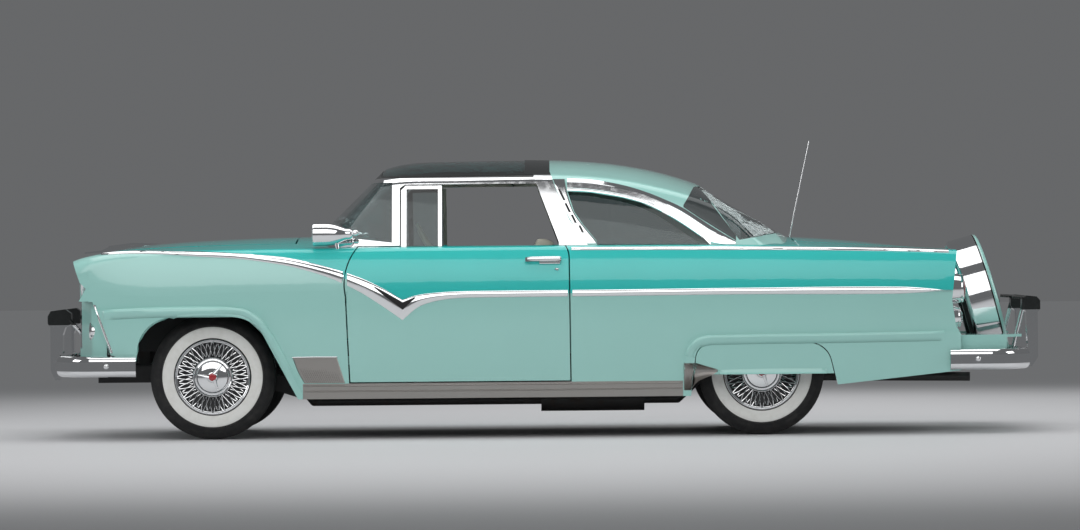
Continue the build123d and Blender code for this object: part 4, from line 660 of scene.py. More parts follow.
class Skin:
    """Some CAD nodes as one surface that trim is laid on.

    A drawing is laid from FAR out, and where no surface is under it, on what is nearest to a point NEAR out.
    """

    FAR = 4.0
    NEAR = 0.9

    def __init__(self, frame: dict, *nodes: str) -> None:
        """Reads the nodes' meshes.

        Args:
            nodes: the nodes' names.
        """
        corners: list[Vector] = []
        faces: list[tuple[int, ...]] = []
        for node in nodes:
            mesh = frame["nodes"][node].data
            start = len(corners)
            corners += [vertex.co.copy() for vertex in mesh.vertices]
            faces += [tuple(start + i for i in face.vertices) for face in mesh.polygons]
        self.tree = BVHTree.FromPolygons(corners, faces)

    def lay(self, mesh: Mesh, side: Side) -> None:
        """Moves each vertex (u, v, height) to the surface under (u, v), lifted by its height.

        Args:
            mesh: the flat drawing.
            side: the side it is laid on.
        """
        for vertex in mesh.verts:
            u, v, height = vertex.co
            hit, normal, _, _ = self.tree.ray_cast(side.at(u, self.FAR, v), side.inward)
            if hit is None:
                hit, normal, _, _ = self.tree.find_nearest(side.at(u, self.NEAR, v))
            if normal.dot(side.inward) > 0:
                normal = -normal
            vertex.co = hit + normal * height


# How far a moulding's ends lean, how thick laid sheet is and how far apart a lip's rows are, in metres
END_SLOPE = 0.0008
SHEET = 0.0008
LIP_STEP = 0.025
# How many rows a lip takes to rise at its ends
LIP_RISE = 3

# Sections of mouldings: shares of the width with the heights there
PLATE: Profile = (
    (0.0, -0.0006), (0.02, 0.0022), *((0.02 + 0.96 * k / 12, 0.0026) for k in range(1, 12)),
    (0.98, 0.0022), (1.0, -0.0006),
)
RIBBED: Profile = (
    (0.0, -0.0006), (0.02, 0.0036),
    *((0.03 + 0.94 * k / 40, 0.0036 - 0.0016 * (k % 2)) for k in range(1, 40)),
    (0.98, 0.0036), (1.0, -0.0006),
)
RAISED_BAND: Profile = ((0.0, 0.0018), (0.1, 0.0034), (0.5, 0.0038), (0.9, 0.0034), (1.0, 0.0018))
INSET: Profile = ((0.0, 0.002), (0.03, 0.011), (0.5, 0.0116), (0.97, 0.011), (1.0, 0.002))
RIDGED: Profile = (
    (0.0, -0.0004), (0.04, 0.0025), (0.2, 0.006), (0.42, 0.0095), (0.55, 0.0095), (0.8, 0.0055),
    (0.96, 0.002), (1.0, -0.0004),
)
BEAD: Profile = ((0.0, -0.0004), (0.12, 0.003), (0.35, 0.0052), (0.65, 0.0052), (0.88, 0.003), (1.0, -0.0004))
LOW_BEAD: Profile = tuple((share, 0.7 * height) for share, height in BEAD)
FLARED: Profile = ((0.0, 0.0), (0.35, 0.003), (0.7, 0.009), (0.95, 0.0145), (1.0, 0.012))
GROOVED: Profile = (
    (0.0, -0.0004), (0.03, 0.003), (0.28, 0.0042), (0.31, 0.0008), (0.36, 0.0008), (0.39, 0.0042),
    (0.76, 0.0042), (0.79, 0.0008), (0.84, 0.0008), (0.87, 0.0036), (0.97, 0.003), (1.0, -0.0004),
)


def backed(mesh: Mesh, skin: Skin, side: Side) -> Mesh:
    """Lays a flat drawing on a surface and closes it behind.

    Args:
        mesh: the drawing, whose vertices are (u, v, height).
        skin: the surface.
        side: the side it is laid on.
    Returns:
        The same mesh as a thin closed sheet.
    """
    skin.lay(mesh, side)
    raised = bmesh.ops.extrude_face_region(mesh, geom=mesh.faces[:], use_keep_orig=True)["geom"]
    lifted = [part for part in raised if isinstance(part, bmesh.types.BMVert)]
    bmesh.ops.translate(mesh, verts=lifted, vec=-SHEET * side.inward)
    return mesh


def strip(skin: Skin, side: Side, rows: list[Vector], profile: Profile, upright: bool = False) -> Mesh:
    """A moulding laid on the surface.

    Args:
        skin: the surface.
        side: the side it is laid on.
        rows: places along it with its two edges.
        profile: shares of its width with the heights there.
        upright: true where the rows run up the drawing and not along it.
    Returns:
        The moulding's mesh, closed below.
    """
    rows = [rows[0], *rows, rows[-1]]
    last = len(rows) - 1
    mesh = bmesh.new()
    bmesh.ops.create_grid(mesh, x_segments=last, y_segments=len(profile) - 1, size=0.5)
    for vertex in mesh.verts:
        row = round((vertex.co.x + 0.5) * last)
        share, height = profile[round((vertex.co.y + 0.5) * (len(profile) - 1))]
        place, first, second = rows[row]
        edge = first + (second - first) * share
        if row in (0, last):
            height = profile[0][1]
            place += math.copysign(END_SLOPE, row - 1)
        vertex.co = (edge, place, height) if upright else (place, edge, height)
    return backed(mesh, skin, side)


def lip(skin: Skin, side: Side, path: Profile, profile: Profile) -> Mesh:
    """A raised edge laid on the surface along a bent line.

    Args:
        skin: the surface.
        side: the side it is laid on.
        path: the line's points.
        profile: distances to the line's left with the heights there.
    Returns:
        The edge's mesh, closed below.
    """
    corners = [Vector(point) for point in path]
    points = [corners[0]]
    for i, (start, end) in enumerate(zip(corners, corners[1:])):
        before = corners[max(i - 1, 0)]
        after = corners[min(i + 2, len(corners) - 1)]
        count = max(2, round((end - start).length / LIP_STEP))
        for k in range(1, count + 1):
            s = k / count
            bend = (end - before) * (s * (1 - s) ** 2) / 2 - (after - start) * (s * s * (1 - s)) / 2
            points.append(start.lerp(end, s * s * (3 - 2 * s)) + bend)
    last = len(points) - 1
    mesh = bmesh.new()
    bmesh.ops.create_grid(mesh, x_segments=last, y_segments=len(profile) - 1, size=0.5)
    for vertex in mesh.verts:
        row = round((vertex.co.x + 0.5) * last)
        away, height = profile[round((vertex.co.y + 0.5) * (len(profile) - 1))]
        run = (points[min(row + 1, last)] - points[max(row - 1, 0)]).normalized()
        place = points[row] + Vector((-run.y, run.x)) * away
        vertex.co = (place.x, place.y, height * min(1.0, row / LIP_RISE, (last - row) / LIP_RISE))
    return backed(mesh, skin, side)


def turned(profile: Profile, at: Vector, axis: Vector, steps: int = 48, flat: Row = EVEN) -> Mesh:
    """A turned shape.

    Args:
        profile: radii with the places along the axis.
        at: the point that the places are measured from.
        axis: the direction of the axis.
        steps: how many parts go round.
        flat: factors along X, Y and Z, about the point.
    Returns:
        The mesh.
    """
    mesh = bmesh.new()
    axis = axis.normalized()
    across = axis.orthogonal().normalized()
    line = [mesh.verts.new(at + axis * along + across * radius) for radius, along in profile]
    edges = [mesh.edges.new(pair) for pair in zip(line, line[1:])]
    bmesh.ops.spin(mesh, geom=line + edges, cent=at, axis=axis, angle=math.tau, steps=steps, use_merge=True)
    bmesh.ops.remove_doubles(mesh, verts=mesh.verts, dist=2 * SAME)
    centre = Matrix.Translation(at)
    stretch = centre @ Matrix.Diagonal((*flat, 1.0)) @ centre.inverted()
    bmesh.ops.transform(mesh, matrix=stretch, verts=mesh.verts)
    return mesh


def ring(radius: float, thick: float, along: float, at: Vector, axis: Vector, steps: int = 64) -> Mesh:
    """A round wire bent into a ring.

    Args:
        radius: the ring's radius.
        thick: the wire's radius.
        along: the ring's place along the axis.
        at: the point on the axis.
        axis: the axis.
        steps: how many parts go round.
    Returns:
        The mesh.
    """
    corners = [math.tau * k / 10 for k in range(11)]
    profile = tuple((radius + thick * math.cos(a), along + thick * math.sin(a)) for a in corners)
    return turned(profile, at, axis, steps)


def rod(mesh: Mesh, start: Vector, end: Vector, first: float, second: float, segments: int = 8) -> None:
    """Adds a tapering rod.

    Args:
        mesh: the mesh it goes into.
        start: the middle of its first end.
        end: the middle of its second end.
        first: the radius at its first end.
        second: the radius at its second end.
        segments: how many sides it has.
    """
    run = end - start
    place = Matrix.Translation((start + end) / 2) @ run.to_track_quat("Z", "Y").to_matrix().to_4x4()
    bmesh.ops.create_cone(
        mesh, cap_ends=True, segments=segments, radius1=first, radius2=second, depth=run.length, matrix=place
    )


def block(size: Row, at: Vector, round_off: float) -> Mesh:
    """A block with rounded edges.

    Args:
        size: its length, width and height.
        at: its middle.
        round_off: how far its edges are rounded.
    Returns:
        The mesh.
    """
    mesh = bmesh.new()
    bmesh.ops.create_cube(mesh, size=1.0, matrix=Matrix.Diagonal((*size, 1.0)))
    bmesh.ops.bevel(
        mesh, geom=mesh.edges[:], offset=round_off, segments=4, affect="EDGES", profile=0.5, material=-1
    )
    bmesh.ops.transform(mesh, matrix=Matrix.Translation(at), verts=mesh.verts)
    return mesh


def joined(*parts: Mesh) -> Mesh:
    """Several meshes as one."""
    whole = bmesh.new()
    for part in parts:
        data = bpy.data.meshes.new("part")
        part.to_mesh(data)
        part.free()
        whole.from_mesh(data)
        bpy.data.meshes.remove(data)
    return whole


def piece(
    mesh: Mesh, name: str, body: str, finish: Finish, sharp: float = 0.6
) -> bpy.types.Object:
    """Makes a finished piece that rides on a body.

    Args:
        mesh: its mesh, in the car's frame.
        name: its name.
        body: the body it rides on.
        finish: its finish.
        sharp: the angle past which an edge stays sharp.
    Returns:
        The piece.
    """
    bmesh.ops.remove_doubles(mesh, verts=mesh.verts, dist=SAME)
    bmesh.ops.recalc_face_normals(mesh, faces=mesh.faces)
    for face in mesh.faces:
        face.smooth = True
    for edge in mesh.edges:
        edge.smooth = len(edge.link_faces) == 2 and edge.calc_face_angle(0.0) < sharp
    data = bpy.data.meshes.new(name)
    mesh.to_mesh(data)
    mesh.free()
    data.materials.append(finish.material())
    thing = bpy.data.objects.new(name, data)
    bpy.context.scene.collection.objects.link(thing)
    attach(thing, body)
    LOG.info("%s on %s: %d faces", name, body, len(data.polygons))
    return thing


# Finishes that several sub-assemblies share
CHROME = Chrome("bright_plate")
BRUSHED = Brushed("brushed_sheet")
BLACK = Iron("black_enamel", (0.012, 0.012, 0.013), 0.0, 0.35)
UNDER = Iron("under_iron")
SEAFOAM_PAINT = Paint("paint_seafoam", SEAFOAM)
TEAL_PAINT = Paint("paint_teal", TEAL)
TWO_TONE = Paint("paint_two_tone", SEAFOAM, TEAL, PAINT_LINE)
CLEAR_GLASS = Glass("window_glass", (0.56, 0.64, 0.64))
DARK_GLASS = Glass("roof_glass", (0.02, 0.045, 0.045))
# A dark opaque sheet for the rear window's corner: painted shade of the car's inside, seen as through the
# glass.
SHADED_WINDOW_SHEET = Iron("deep_glass", (0.055, 0.065, 0.066), 0.0, 0.06)
REVERSE_GLASS = Glass("reverse_glass", (0.8, 0.82, 0.84), 0.15)
LENS = Lens("lamp_lens")
HIDE = Vinyl("seat_hide", (0.62, 0.60, 0.50))
DASH_PAINT = Paint("dash_enamel", (0.05, 0.30, 0.28))
RED_ENAMEL = Paint("red_enamel", (0.42, 0.012, 0.02))
IVORY = Paint("ivory_plastic", (0.58, 0.56, 0.47))


@dataclass
class Panels:
    """The CAD nodes that stay as they are, with their finishes."""

    shared: tuple[tuple[Finish, str], ...] = (
        (TWO_TONE, "front_fenders door_left door_right quarter_panels tail_panel"),
        (TEAL_PAINT, "hood cowl_panel decklid"),
        (SEAFOAM_PAINT, "headlamps nose_panel roof_rear skirts bumper_tray"),
        # The dark tops of the band, the guards and the screen frame are painted dark reflections on bright
        # plate.
        (PostPlate("band_bright_plate", 1.402), "tiara_band"),
        (CHROME, "grille tail_lamps hood_ornament antenna spotlights door_trim_left door_trim_right"),
        (PostPlate("front_guard_plate", 0.612), "front_bumper"),
        (PostPlate("rear_guard_plate", 0.650), "rear_bumper"),
        (BLACK, "floor_pan chassis_frame fuel_tank front_suspension front_aprons spare_carrier"),
        (UNDER, "engine_block rear_axle exhaust knuckle_left knuckle_right"),
        (CLEAR_GLASS, "fixed_glass vent_glass_left vent_glass_right"),
        (DASH_PAINT, "dashboard steering_column"),
        (IVORY, "steering_wheel"),
        (HIDE, "front_seat rear_seat"),
        (PostPlate("post_plate", 1.388), "windshield_frame"),
        (DARK_GLASS, "roof_front_panel"),
        (BRUSHED, "rockers"),
        (LENS, "lamp_lenses"),
        (SpareShell("spare_shell", SEAFOAM), "spare_cover"),
    )

    def build(self, frame: dict) -> None:
        """Gives each node its finish.
        """
        finishes = {name: finish for finish, names in self.shared for name in names.split()}
        for wheel in Wheel:
            name, along, _ = wheel.value
            finishes[f"tyre_{name}"] = Tyre(f"tyre_{name}_rubber", (along, AXLE_HIGH))
            finishes[f"wheel_{name}"] = Dish(f"wheel_{name}_dish", (along, AXLE_HIGH))
        for name, finish in finishes.items():
            mesh = frame["nodes"][name].data
            mesh.materials.clear()
            mesh.materials.append(finish.material())
        LOG.info("%d nodes finished", len(finishes))


@dataclass(frozen=True)
class Moulding:
    """A strip that is laid on one side of the car as a piece of its own."""

    name: str
    skin: Skin
    rows: list[Vector]
    profile: Profile
    upright: bool = False
    body: str = "body"
    finish: Finish = CHROME
    slot: str = "chrome"

    def lay(self, side: Side) -> None:
        """Makes the piece."""
        mesh = strip(self.skin, side, self.rows, self.profile, self.upright)
        piece(mesh, f"{self.name}_{side.word}", self.body, self.finish)


@dataclass
class SideTrim:
    """The mouldings and sheets along one side of the car."""

    side: Side
    door: Point = (-1.045, 0.1275)
    gap: float = 0.011
    # a black sheet in the spear's point, painted shade of the recess in the V: place along the car, upper and
    # lower edge
    inlay: Rows = (
        (-0.900, 0.8120, 0.8080), (-0.844, 0.7818, 0.7585), (-0.750, 0.7276, 0.6860),
        (-0.686, 0.7540, 0.7480),
    )
    belt: Rows = (
        (0.150, 1.0120, 0.9960), (0.621, 1.0110, 0.9930), (1.300, 1.0050, 0.9860), (1.900, 0.9930, 0.9740),
        (2.160, 0.9810, 0.9640),
    )
    shield: Rows = ((0.300, -1.280, -1.062), (0.365, -1.314, -1.082), (0.436, -1.340, -1.104))
    cap: Rows = ((-1.342, 0.443, 0.434), (-1.22, 0.444, 0.435), (-1.102, 0.443, 0.434))
    rear_shield: Rows = (
        (0.246, 0.742, 0.780), (0.290, 0.741, 0.815), (0.330, 0.740, 0.900), (0.352, 0.740, 0.922),
        (0.372, 0.740, 0.862), (0.388, 0.741, 0.812),
    )
    front_edge: Rows = ((0.470, -2.310, -2.296), (0.665, -2.381, -2.366), (0.727, -2.401, -2.388))
    front_flare: Profile = (
        (-2.352, 0.697), (-2.064, 0.708), (-1.683, 0.707), (-1.550, 0.673), (-1.449, 0.565), (-1.345, 0.370),
    )
    rear_flare: Profile = (
        (0.752, 0.432), (0.779, 0.490), (0.848, 0.530), (1.024, 0.538), (1.682, 0.542), (2.130, 0.547),
    )
    flare: Profile = ((-0.052, 0.0004), (-0.034, 0.0075), (-0.014, 0.0110), (-0.004, 0.0105), (0.004, 0.0))
    arch: Profile = (
        (-2.158, 0.452), (-2.102, 0.556), (-2.014, 0.634), (-1.885, 0.664), (-1.660, 0.662), (-1.542, 0.618),
        (-1.440, 0.480), (-1.372, 0.340),
    )
    arch_roll: Profile = ((-0.006, 0.0), (-0.004, 0.006), (0.003, 0.0075), (0.012, 0.004), (0.016, 0.0))
    skirt_low: float = 0.328
    skirt_lip: Rows = ((0.930, 0.352, 0.3285), (1.200, 0.356, 0.3285), (1.500, 0.354, 0.3285))
    rocker_top: Rows = ((-1.284, 0.288, 0.280), (0.080, 0.289, 0.281), (0.733, 0.289, 0.281))
    rocker_rib: Rows = ((-1.280, 0.259, 0.251), (0.080, 0.258, 0.250), (0.730, 0.260, 0.252))
    grip: Profile = (
        (0.0, -0.098), (0.0055, -0.094), (0.0095, -0.084), (0.0115, -0.060), (0.0125, 0.0), (0.0125, 0.060),
        (0.0115, 0.088), (0.008, 0.096), (0.0, 0.098),
    )
    button: Profile = ((0.0, 0.014), (0.007, 0.013), (0.010, 0.009), (0.011, 0.0), (0.011, -0.03))
    grip_at: Row = (-0.002, 0.956, 0.950)
    button_at: Row = (0.070, 0.947, 0.895)
    plate: tuple[Row, Row, float] = ((0.112, 0.010, 0.017), (0.033, 0.946, 0.932), 0.004)
    foot: tuple[Row, Row, float] = ((0.034, 0.040, 0.026), (0.078, 0.938, 0.949), 0.008)

    def build(self, frame: dict) -> None:
        """Makes the side's pieces.
        """
        wing = Skin(frame, "front_fenders")
        door = Skin(frame, f"door_{self.side.word}")
        quarter = Skin(frame, "quarter_panels", "skirts")
        self._mouldings(wing, door, quarter)
        front = lip(wing, self.side, self.front_flare, self.flare)
        front = joined(front, lip(wing, self.side, self.arch, self.arch_roll))
        self._sheet(front, "front_flare")
        self._sheet(lip(quarter, self.side, self.rear_flare, self.flare), "rear_flare")
        self._skirt(frame)
        self._rocker(frame)
        self._handle()

    def _sheet(self, mesh: Mesh, name: str) -> None:
        """Adds a softly bent piece of painted sheet."""
        piece(mesh, f"{name}_{self.side.word}", "body", SEAFOAM_PAINT, SOFT)

    def _mouldings(self, wing: Skin, door: Skin, quarter: Skin) -> None:
        """Lays the spear with the black sheet of painted shade in its point, the belt, the shields and the
        wing's edge.

        Args:
            wing: the front wings' surface.
            door: the door's surface.
            quarter: the rear wings' surface, with the wheel covers.
        """
        swing = f"door_{self.side.word}"
        line = trace(SPEAR, 0.03, (SPEAR_TIP,))
        front, rear = self.door
        inlay, belt = trace(self.inlay, 0.012, (2,)), trace(self.belt, 0.03)
        shield, cap = trace(self.shield, 0.01), [Vector(row) for row in self.cap]
        stone, edge = trace(self.rear_shield, 0.008), trace(self.front_edge, 0.02)
        for moulding in (
            Moulding("spear_front", wing, cut(line, SPEAR[0][0], front - self.gap), RIDGED),
            Moulding("spear_door", door, cut(line, front, rear), RIDGED, body=swing),
            Moulding("spear_rear", quarter, cut(line, rear + self.gap, SPEAR[-1][0]), RIDGED),
            # painted shade: a black sheet where the recess in the spear's point is in shade
            Moulding("spear_inlay", door, inlay, INSET, body=swing, finish=BLACK, slot="black_metal"),
            Moulding("belt", quarter, belt, BEAD),
            Moulding("gravel_shield", wing, shield, RIBBED, True, finish=BRUSHED),
            Moulding("gravel_cap", wing, cap, BEAD),
            Moulding("stone_shield", quarter, stone, RIBBED, True, finish=BRUSHED),
            Moulding("wing_edge", wing, edge, BEAD, True),
        ):
            moulding.lay(self.side)

    def _skirt(self, frame: dict) -> None:
        """Adds the rear wheel's cover, cut off above the rocker and with a flared lower lip.
        """
        mesh = bmesh.new()
        mesh.from_mesh(frame["nodes"]["skirts"].data)
        bmesh.ops.remove_doubles(mesh, verts=mesh.verts, dist=SAME)
        middle, low = (0.0, self.side.at(0.0, 1.0, 0.0)), (self.skirt_low, Vector((0.0, 0.0, 1.0)))
        for height, normal in (middle, low):
            bmesh.ops.bisect_plane(
                mesh, geom=mesh.verts[:] + mesh.edges[:] + mesh.faces[:], plane_co=(0.0, 0.0, height),
                plane_no=normal, clear_inner=True,
            )
        bmesh.ops.holes_fill(mesh, edges=mesh.edges[:])
        panel = piece(mesh, f"skirt_{self.side.word}", "body", SEAFOAM_PAINT)
        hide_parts("skirts")
        skin = Skin(frame, "skirts")
        self._sheet(strip(skin, self.side, trace(self.skirt_lip, 0.03), FLARED), "skirt_lip")

    def _rocker(self, frame: dict) -> None:
        """Adds the bright bead and the rib along the rocker.
        """
        rocker = Skin(frame, "rockers")
        top, rib = trace(self.rocker_top, 0.05), trace(self.rocker_rib, 0.05)
        beads = [strip(rocker, self.side, rows, LOW_BEAD) for rows in (top, rib)]
        piece(joined(*beads), f"rocker_beads_{self.side.word}", "body", BRUSHED)

    def _handle(self) -> None:
        """Adds the door's pull handle with its plate, its foot and its lock button."""
        at, out = self.side.at, self.side.at(0.0, 1.0, 0.0)
        grip = turned(self.grip, at(*self.grip_at), BEHIND, 24, (1.0, 0.8, 1.15))
        blocks = [block(size, at(*place), round_off) for size, place, round_off in (self.plate, self.foot)]
        button = turned(self.button, at(*self.button_at), out, 24, (1.25, 1.0, 0.8))
        word = self.side.word
        piece(joined(grip, *blocks, button), f"handle_{word}", f"door_{word}", CHROME)


@dataclass
class Roof:
    """The window's reveal and corner, and the slotted plate beside the band, on one side."""

    side: Side
    reveal: Rows = (
        (0.130, 1.381, 1.313), (0.256, 1.374, 1.304), (0.419, 1.345, 1.276), (0.549, 1.306, 1.238),
        (0.658, 1.261, 1.183), (0.744, 1.220, 1.130), (0.852, 1.149, 1.054), (0.893, 1.121, 1.030),
        (0.960, 1.078, 1.018), (1.026, 1.036, 1.018),
    )
    plate: Rows = (
        (1.030, 0.232, 0.290), (1.047, 0.220, 0.279), (1.120, 0.167, 0.219), (1.200, 0.123, 0.164),
        (1.310, 0.077, 0.129), (1.376, 0.054, 0.118),
    )
    corner: Rows = (
        (0.752, 1.232, 1.220), (0.816, 1.332, 1.176), (0.839, 1.334, 1.160), (0.893, 1.262, 1.126),
        (0.960, 1.166, 1.083), (1.028, 1.070, 1.040),
    )
    slots: Rows = (
        # top, low end, place along the car
        (1.322, 1.262, 0.101), (1.246, 1.198, 0.132), (1.184, 1.140, 0.164), (1.126, 1.088, 0.203),
    )
    slot_lean: float = -0.47
    slot_half: float = 0.007

    def build(self, frame: dict) -> None:
        """Makes the side's pieces.
        """
        roof = Skin(frame, "roof_rear")
        corner = trace(self.corner, 0.01, (2,))
        for moulding in (
            Moulding("reveal", roof, trace(self.reveal, 0.02), GROOVED),
            Moulding("band_plate", roof, trace(self.plate, 0.02), PLATE, True),
            # the window's corner is a dark opaque sheet of painted shade, in place of glass
            Moulding("window_corner", roof, corner, PLATE, finish=SHADED_WINDOW_SHEET, slot="glass"),
        ):
            moulding.lay(self.side)
        parts = []
        for top, low, place in self.slots:
            lean, half = self.slot_lean * (top - low) / 2, self.slot_half
            start, end = place - lean, place + lean
            rows = ((low, start - half, start + half), (top, end - half, end + half))
            parts.append(strip(roof, self.side, trace(rows, 0.012), RAISED_BAND, True))
        piece(joined(*parts), f"band_slots_{self.side.word}", "body", BLACK)


@dataclass
class WheelDress:
    """One wheel's tyre with its tread, and its wire cover."""

    wheel: Wheel
    wall: Profile = (
        (0.2030, 0.0690), (0.2055, 0.0740), (0.2070, 0.0760), (0.2085, 0.0785), (0.2250, 0.0824),
        (0.2480, 0.0848), (0.2620, 0.0840), (0.2668, 0.0830), (0.2682, 0.0816), (0.2750, 0.0806),
        (0.2770, 0.0812), (0.2790, 0.0790), (0.2900, 0.0756), (0.3010, 0.0714), (0.3120, 0.0640),
        (0.3230, 0.0540), (0.3300, 0.0485), (0.3330, 0.0445), (0.3336, 0.0370), (0.3280, 0.0350),
        (0.3280, 0.0310), (0.3342, 0.0290), (0.3346, 0.0130), (0.3290, 0.0115), (0.3290, 0.0075),
        (0.3349, 0.0060), (0.3350, 0.0),
    )
    tread_steps: int = 120
    tread_radius: float = 0.327
    tread_rows: Point = (0.005, 0.038)
    zigzag: float = 0.0022
    spokes: int = 20
    twist: float = 8.5
    layers: tuple[tuple[float, ...], ...] = (
        # rim radius and its height, hub radius and its height, share of a pitch
        (0.190, 0.0765, 0.104, 0.0765, 0.0),
        (0.184, 0.0640, 0.112, 0.0610, 0.5),
    )
    rings: Rows = (
        # radius, the wire's radius, height
        (0.1935, 0.0042, 0.0770), (0.1995, 0.0030, 0.0800), (0.1030, 0.0046, 0.0780),
        (0.0860, 0.0030, 0.0800),
    )
    # shares of the twist at the rim and at a wire's bend, and how far in and out the bend lies
    twist_shares: Point = (0.12, 0.4)
    bend: Point = (0.026, 0.0012)
    # a wire's radii: at the rim, on both sides of the bend, and at the hub
    wire: tuple[float, ...] = (0.0040, 0.0026, 0.0024, 0.0021)
    wing_angles: Row = (65.0, 185.0, 305.0)
    sweep: float = 14.0
    # distance from the axle, height and thickness of a wing's two ends
    wing_root: Row = (0.018, 0.0945, 0.0110)
    wing_tip: Row = (0.080, 0.0900, 0.0042)
    dome: Profile = (
        (0.0, 0.0925), (0.030, 0.0920), (0.050, 0.0900), (0.068, 0.0862), (0.080, 0.0815), (0.084, 0.0760),
    )
    nut: Profile = ((0.0, 0.1000), (0.021, 0.1000), (0.026, 0.0980), (0.029, 0.0935), (0.032, 0.0900))
    centre: Profile = ((0.0, 0.1045), (0.012, 0.1040), (0.019, 0.1020), (0.0215, 0.0990), (0.0215, 0.0950))
    middle: Vector = field(init=False)
    out: Vector = field(init=False)

    def __post_init__(self) -> None:
        """Works out the wheel's middle and its outward direction."""
        _, along, across = self.wheel.value
        self.middle = Vector((along, across, AXLE_HIGH))
        self.out = Vector((0.0, math.copysign(1.0, across), 0.0))

    def build(self) -> None:
        """Makes the wheel's pieces."""
        name, along, _ = self.wheel.value
        body = f"wheel_{name}"
        rubber = Tyre(f"tyre_{name}_rubber", (along, AXLE_HIGH))
        tyre = piece(self._tyre(), f"road_tyre_{name}", body, rubber)
        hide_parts(f"tyre_{name}")
        piece(self._wires(), f"wires_{name}", body, CHROME)
        piece(self._spinner(), f"spinner_{name}", body, CHROME, 0.5)
        badge = turned(self.centre, self.middle, self.out, 32)
        piece(badge, f"hub_centre_{name}", body, RED_ENAMEL)

    def _tyre(self) -> Mesh:
        """The tyre, turned from its section, with a zigzag tread."""
        whole = [*self.wall, *((radius, -deep) for radius, deep in reversed(self.wall[:-1]))]
        mesh = turned(tuple(whole), self.middle, self.out, self.tread_steps)
        inner, outer = self.tread_rows
        for vertex in mesh.verts:
            local = vertex.co - self.middle
            if math.hypot(local.x, local.z) > self.tread_radius and inner < abs(local.y) < outer:
                step = round(math.atan2(local.z, local.x) / math.tau * self.tread_steps)
                vertex.co.y += self.zigzag if step % 2 else -self.zigzag
        return mesh

    def _at(self, radius: float, degrees: float, high: float) -> Vector:
        """A point on the wheel from its radius, its angle and how far out it is."""
        angle = math.radians(degrees)
        round_axle = Vector((radius * math.cos(angle), 0.0, radius * math.sin(angle)))
        return self.middle + self.out * high + round_axle

    def _wires(self) -> Mesh:
        """The crossing wires in two layers, with the rings that hold them."""
        mesh = bmesh.new()
        pitch = 360.0 / self.spokes
        layers = [(*layer, twist) for layer in self.layers for twist in (self.twist, -self.twist)]
        for number in range(self.spokes):
            for rim, rim_high, hub, hub_high, share, twist in layers:
                angle = (number + share) * pitch
                outer = self._at(rim, angle + self.twist_shares[0] * twist, rim_high)
                bent = angle + self.twist_shares[1] * twist
                middle = self._at(rim - self.bend[0], bent, rim_high + self.bend[1])
                rod(mesh, outer, middle, *self.wire[:2], 7)
                rod(mesh, middle, self._at(hub, angle + twist, hub_high), *self.wire[2:], 7)
        return joined(mesh, *(ring(*row, self.middle, self.out) for row in self.rings))

    def _spinner(self) -> Mesh:
        """The three-winged knock-off nut on its stepped dome."""
        dome = turned(self.dome, self.middle, self.out)
        nut = turned(self.nut, self.middle, self.out, 36)
        wings = bmesh.new()
        (inner, low, first), (outer, high, second) = self.wing_root, self.wing_tip
        for angle in self.wing_angles:
            root, tip = self._at(inner, angle, low), self._at(outer, angle - self.sweep, high)
            rod(wings, root, tip, first, second, 12)
        return joined(dome, nut, wings)


@dataclass(frozen=True)
class Lamp:
    """A round lamp on each side, with a turned rim and a turned glass."""

    name: str
    place: Row
    facing: Vector
    rim: Profile
    glass: Profile
    steps: tuple[int, int] = (48, 48)
    flat: Row = EVEN
    finish: Finish = LENS

    def build(self, side: Side) -> None:
        """Makes the lamp of one side."""
        at = side.at(*self.place)
        rim = turned(self.rim, at, self.facing, self.steps[0], self.flat)
        piece(rim, f"{self.name}_rim_{side.word}", "body", CHROME)
        glass = turned(self.glass, at, self.facing, self.steps[1], self.flat)
        piece(glass, f"{self.name}_glass_{side.word}", "body", self.finish)


HEADLAMP = Lamp(
    "headlamp",
    (-2.4566, 0.770, 0.862),
    AHEAD,
    ((0.0985, -0.004), (0.0990, 0.004), (0.0965, 0.011), (0.0915, 0.0135), (0.0865, 0.011), (0.0850, 0.004),
     (0.0850, -0.004), (0.0985, -0.004)),
    ((0.0850, 0.0005), (0.0820, 0.006), (0.065, 0.013), (0.040, 0.0175), (0.0, 0.0195)),
    (64, 64),
)
SIDE_LAMP = Lamp(
    "side_lamp",
    (-2.398, 0.735, 0.584),
    AHEAD,
    ((0.058, -0.010), (0.060, 0.010), (0.056, 0.026), (0.047, 0.034), (0.040, 0.030), (0.037, 0.018)),
    ((0.038, 0.018), (0.034, 0.028), (0.020, 0.034), (0.0, 0.036)),
    flat=(1.0, 1.25, 0.95),
)
STOP_LAMP = Lamp(
    "stop",
    (2.2293, 0.796, 0.772),
    BEHIND,
    ((0.074, -0.004), (0.0765, 0.004), (0.0735, 0.011), (0.066, 0.0125), (0.061, 0.009), (0.060, -0.001)),
    ((0.060, 0.004), (0.056, 0.013), (0.044, 0.0195), (0.026, 0.0235), (0.0, 0.025)),
    (56, 48),
)
REVERSE_LAMP = Lamp(
    "reverse",
    (2.2133, 0.796, 0.620),
    BEHIND,
    tuple((0.7 * radius, along) for radius, along in STOP_LAMP.rim),
    tuple((0.7 * radius, along) for radius, along in STOP_LAMP.glass),
    (56, 48),
    finish=REVERSE_GLASS,
)


@dataclass
class FrontEnd:
    """Headlamps, side lamps and the bolts of both bumpers."""

    bolts: Rows = ((2.308, 0.939, 0.398), (-2.330, 0.954, 0.398))
    head: Profile = ((0.0, 0.0085), (0.006, 0.0078), (0.011, 0.0052), (0.0135, 0.001), (0.0135, -0.004))

    def build(self) -> None:
        """Makes the pieces of both sides."""
        for side in Side:
            HEADLAMP.build(side)
            SIDE_LAMP.build(side)
            out = side.at(0.0, 1.0, 0.0)
            heads = [turned(self.head, side.at(*bolt), out, 24) for bolt in self.bolts]
            piece(joined(*heads), f"bumper_bolts_{side.word}", "body", CHROME)


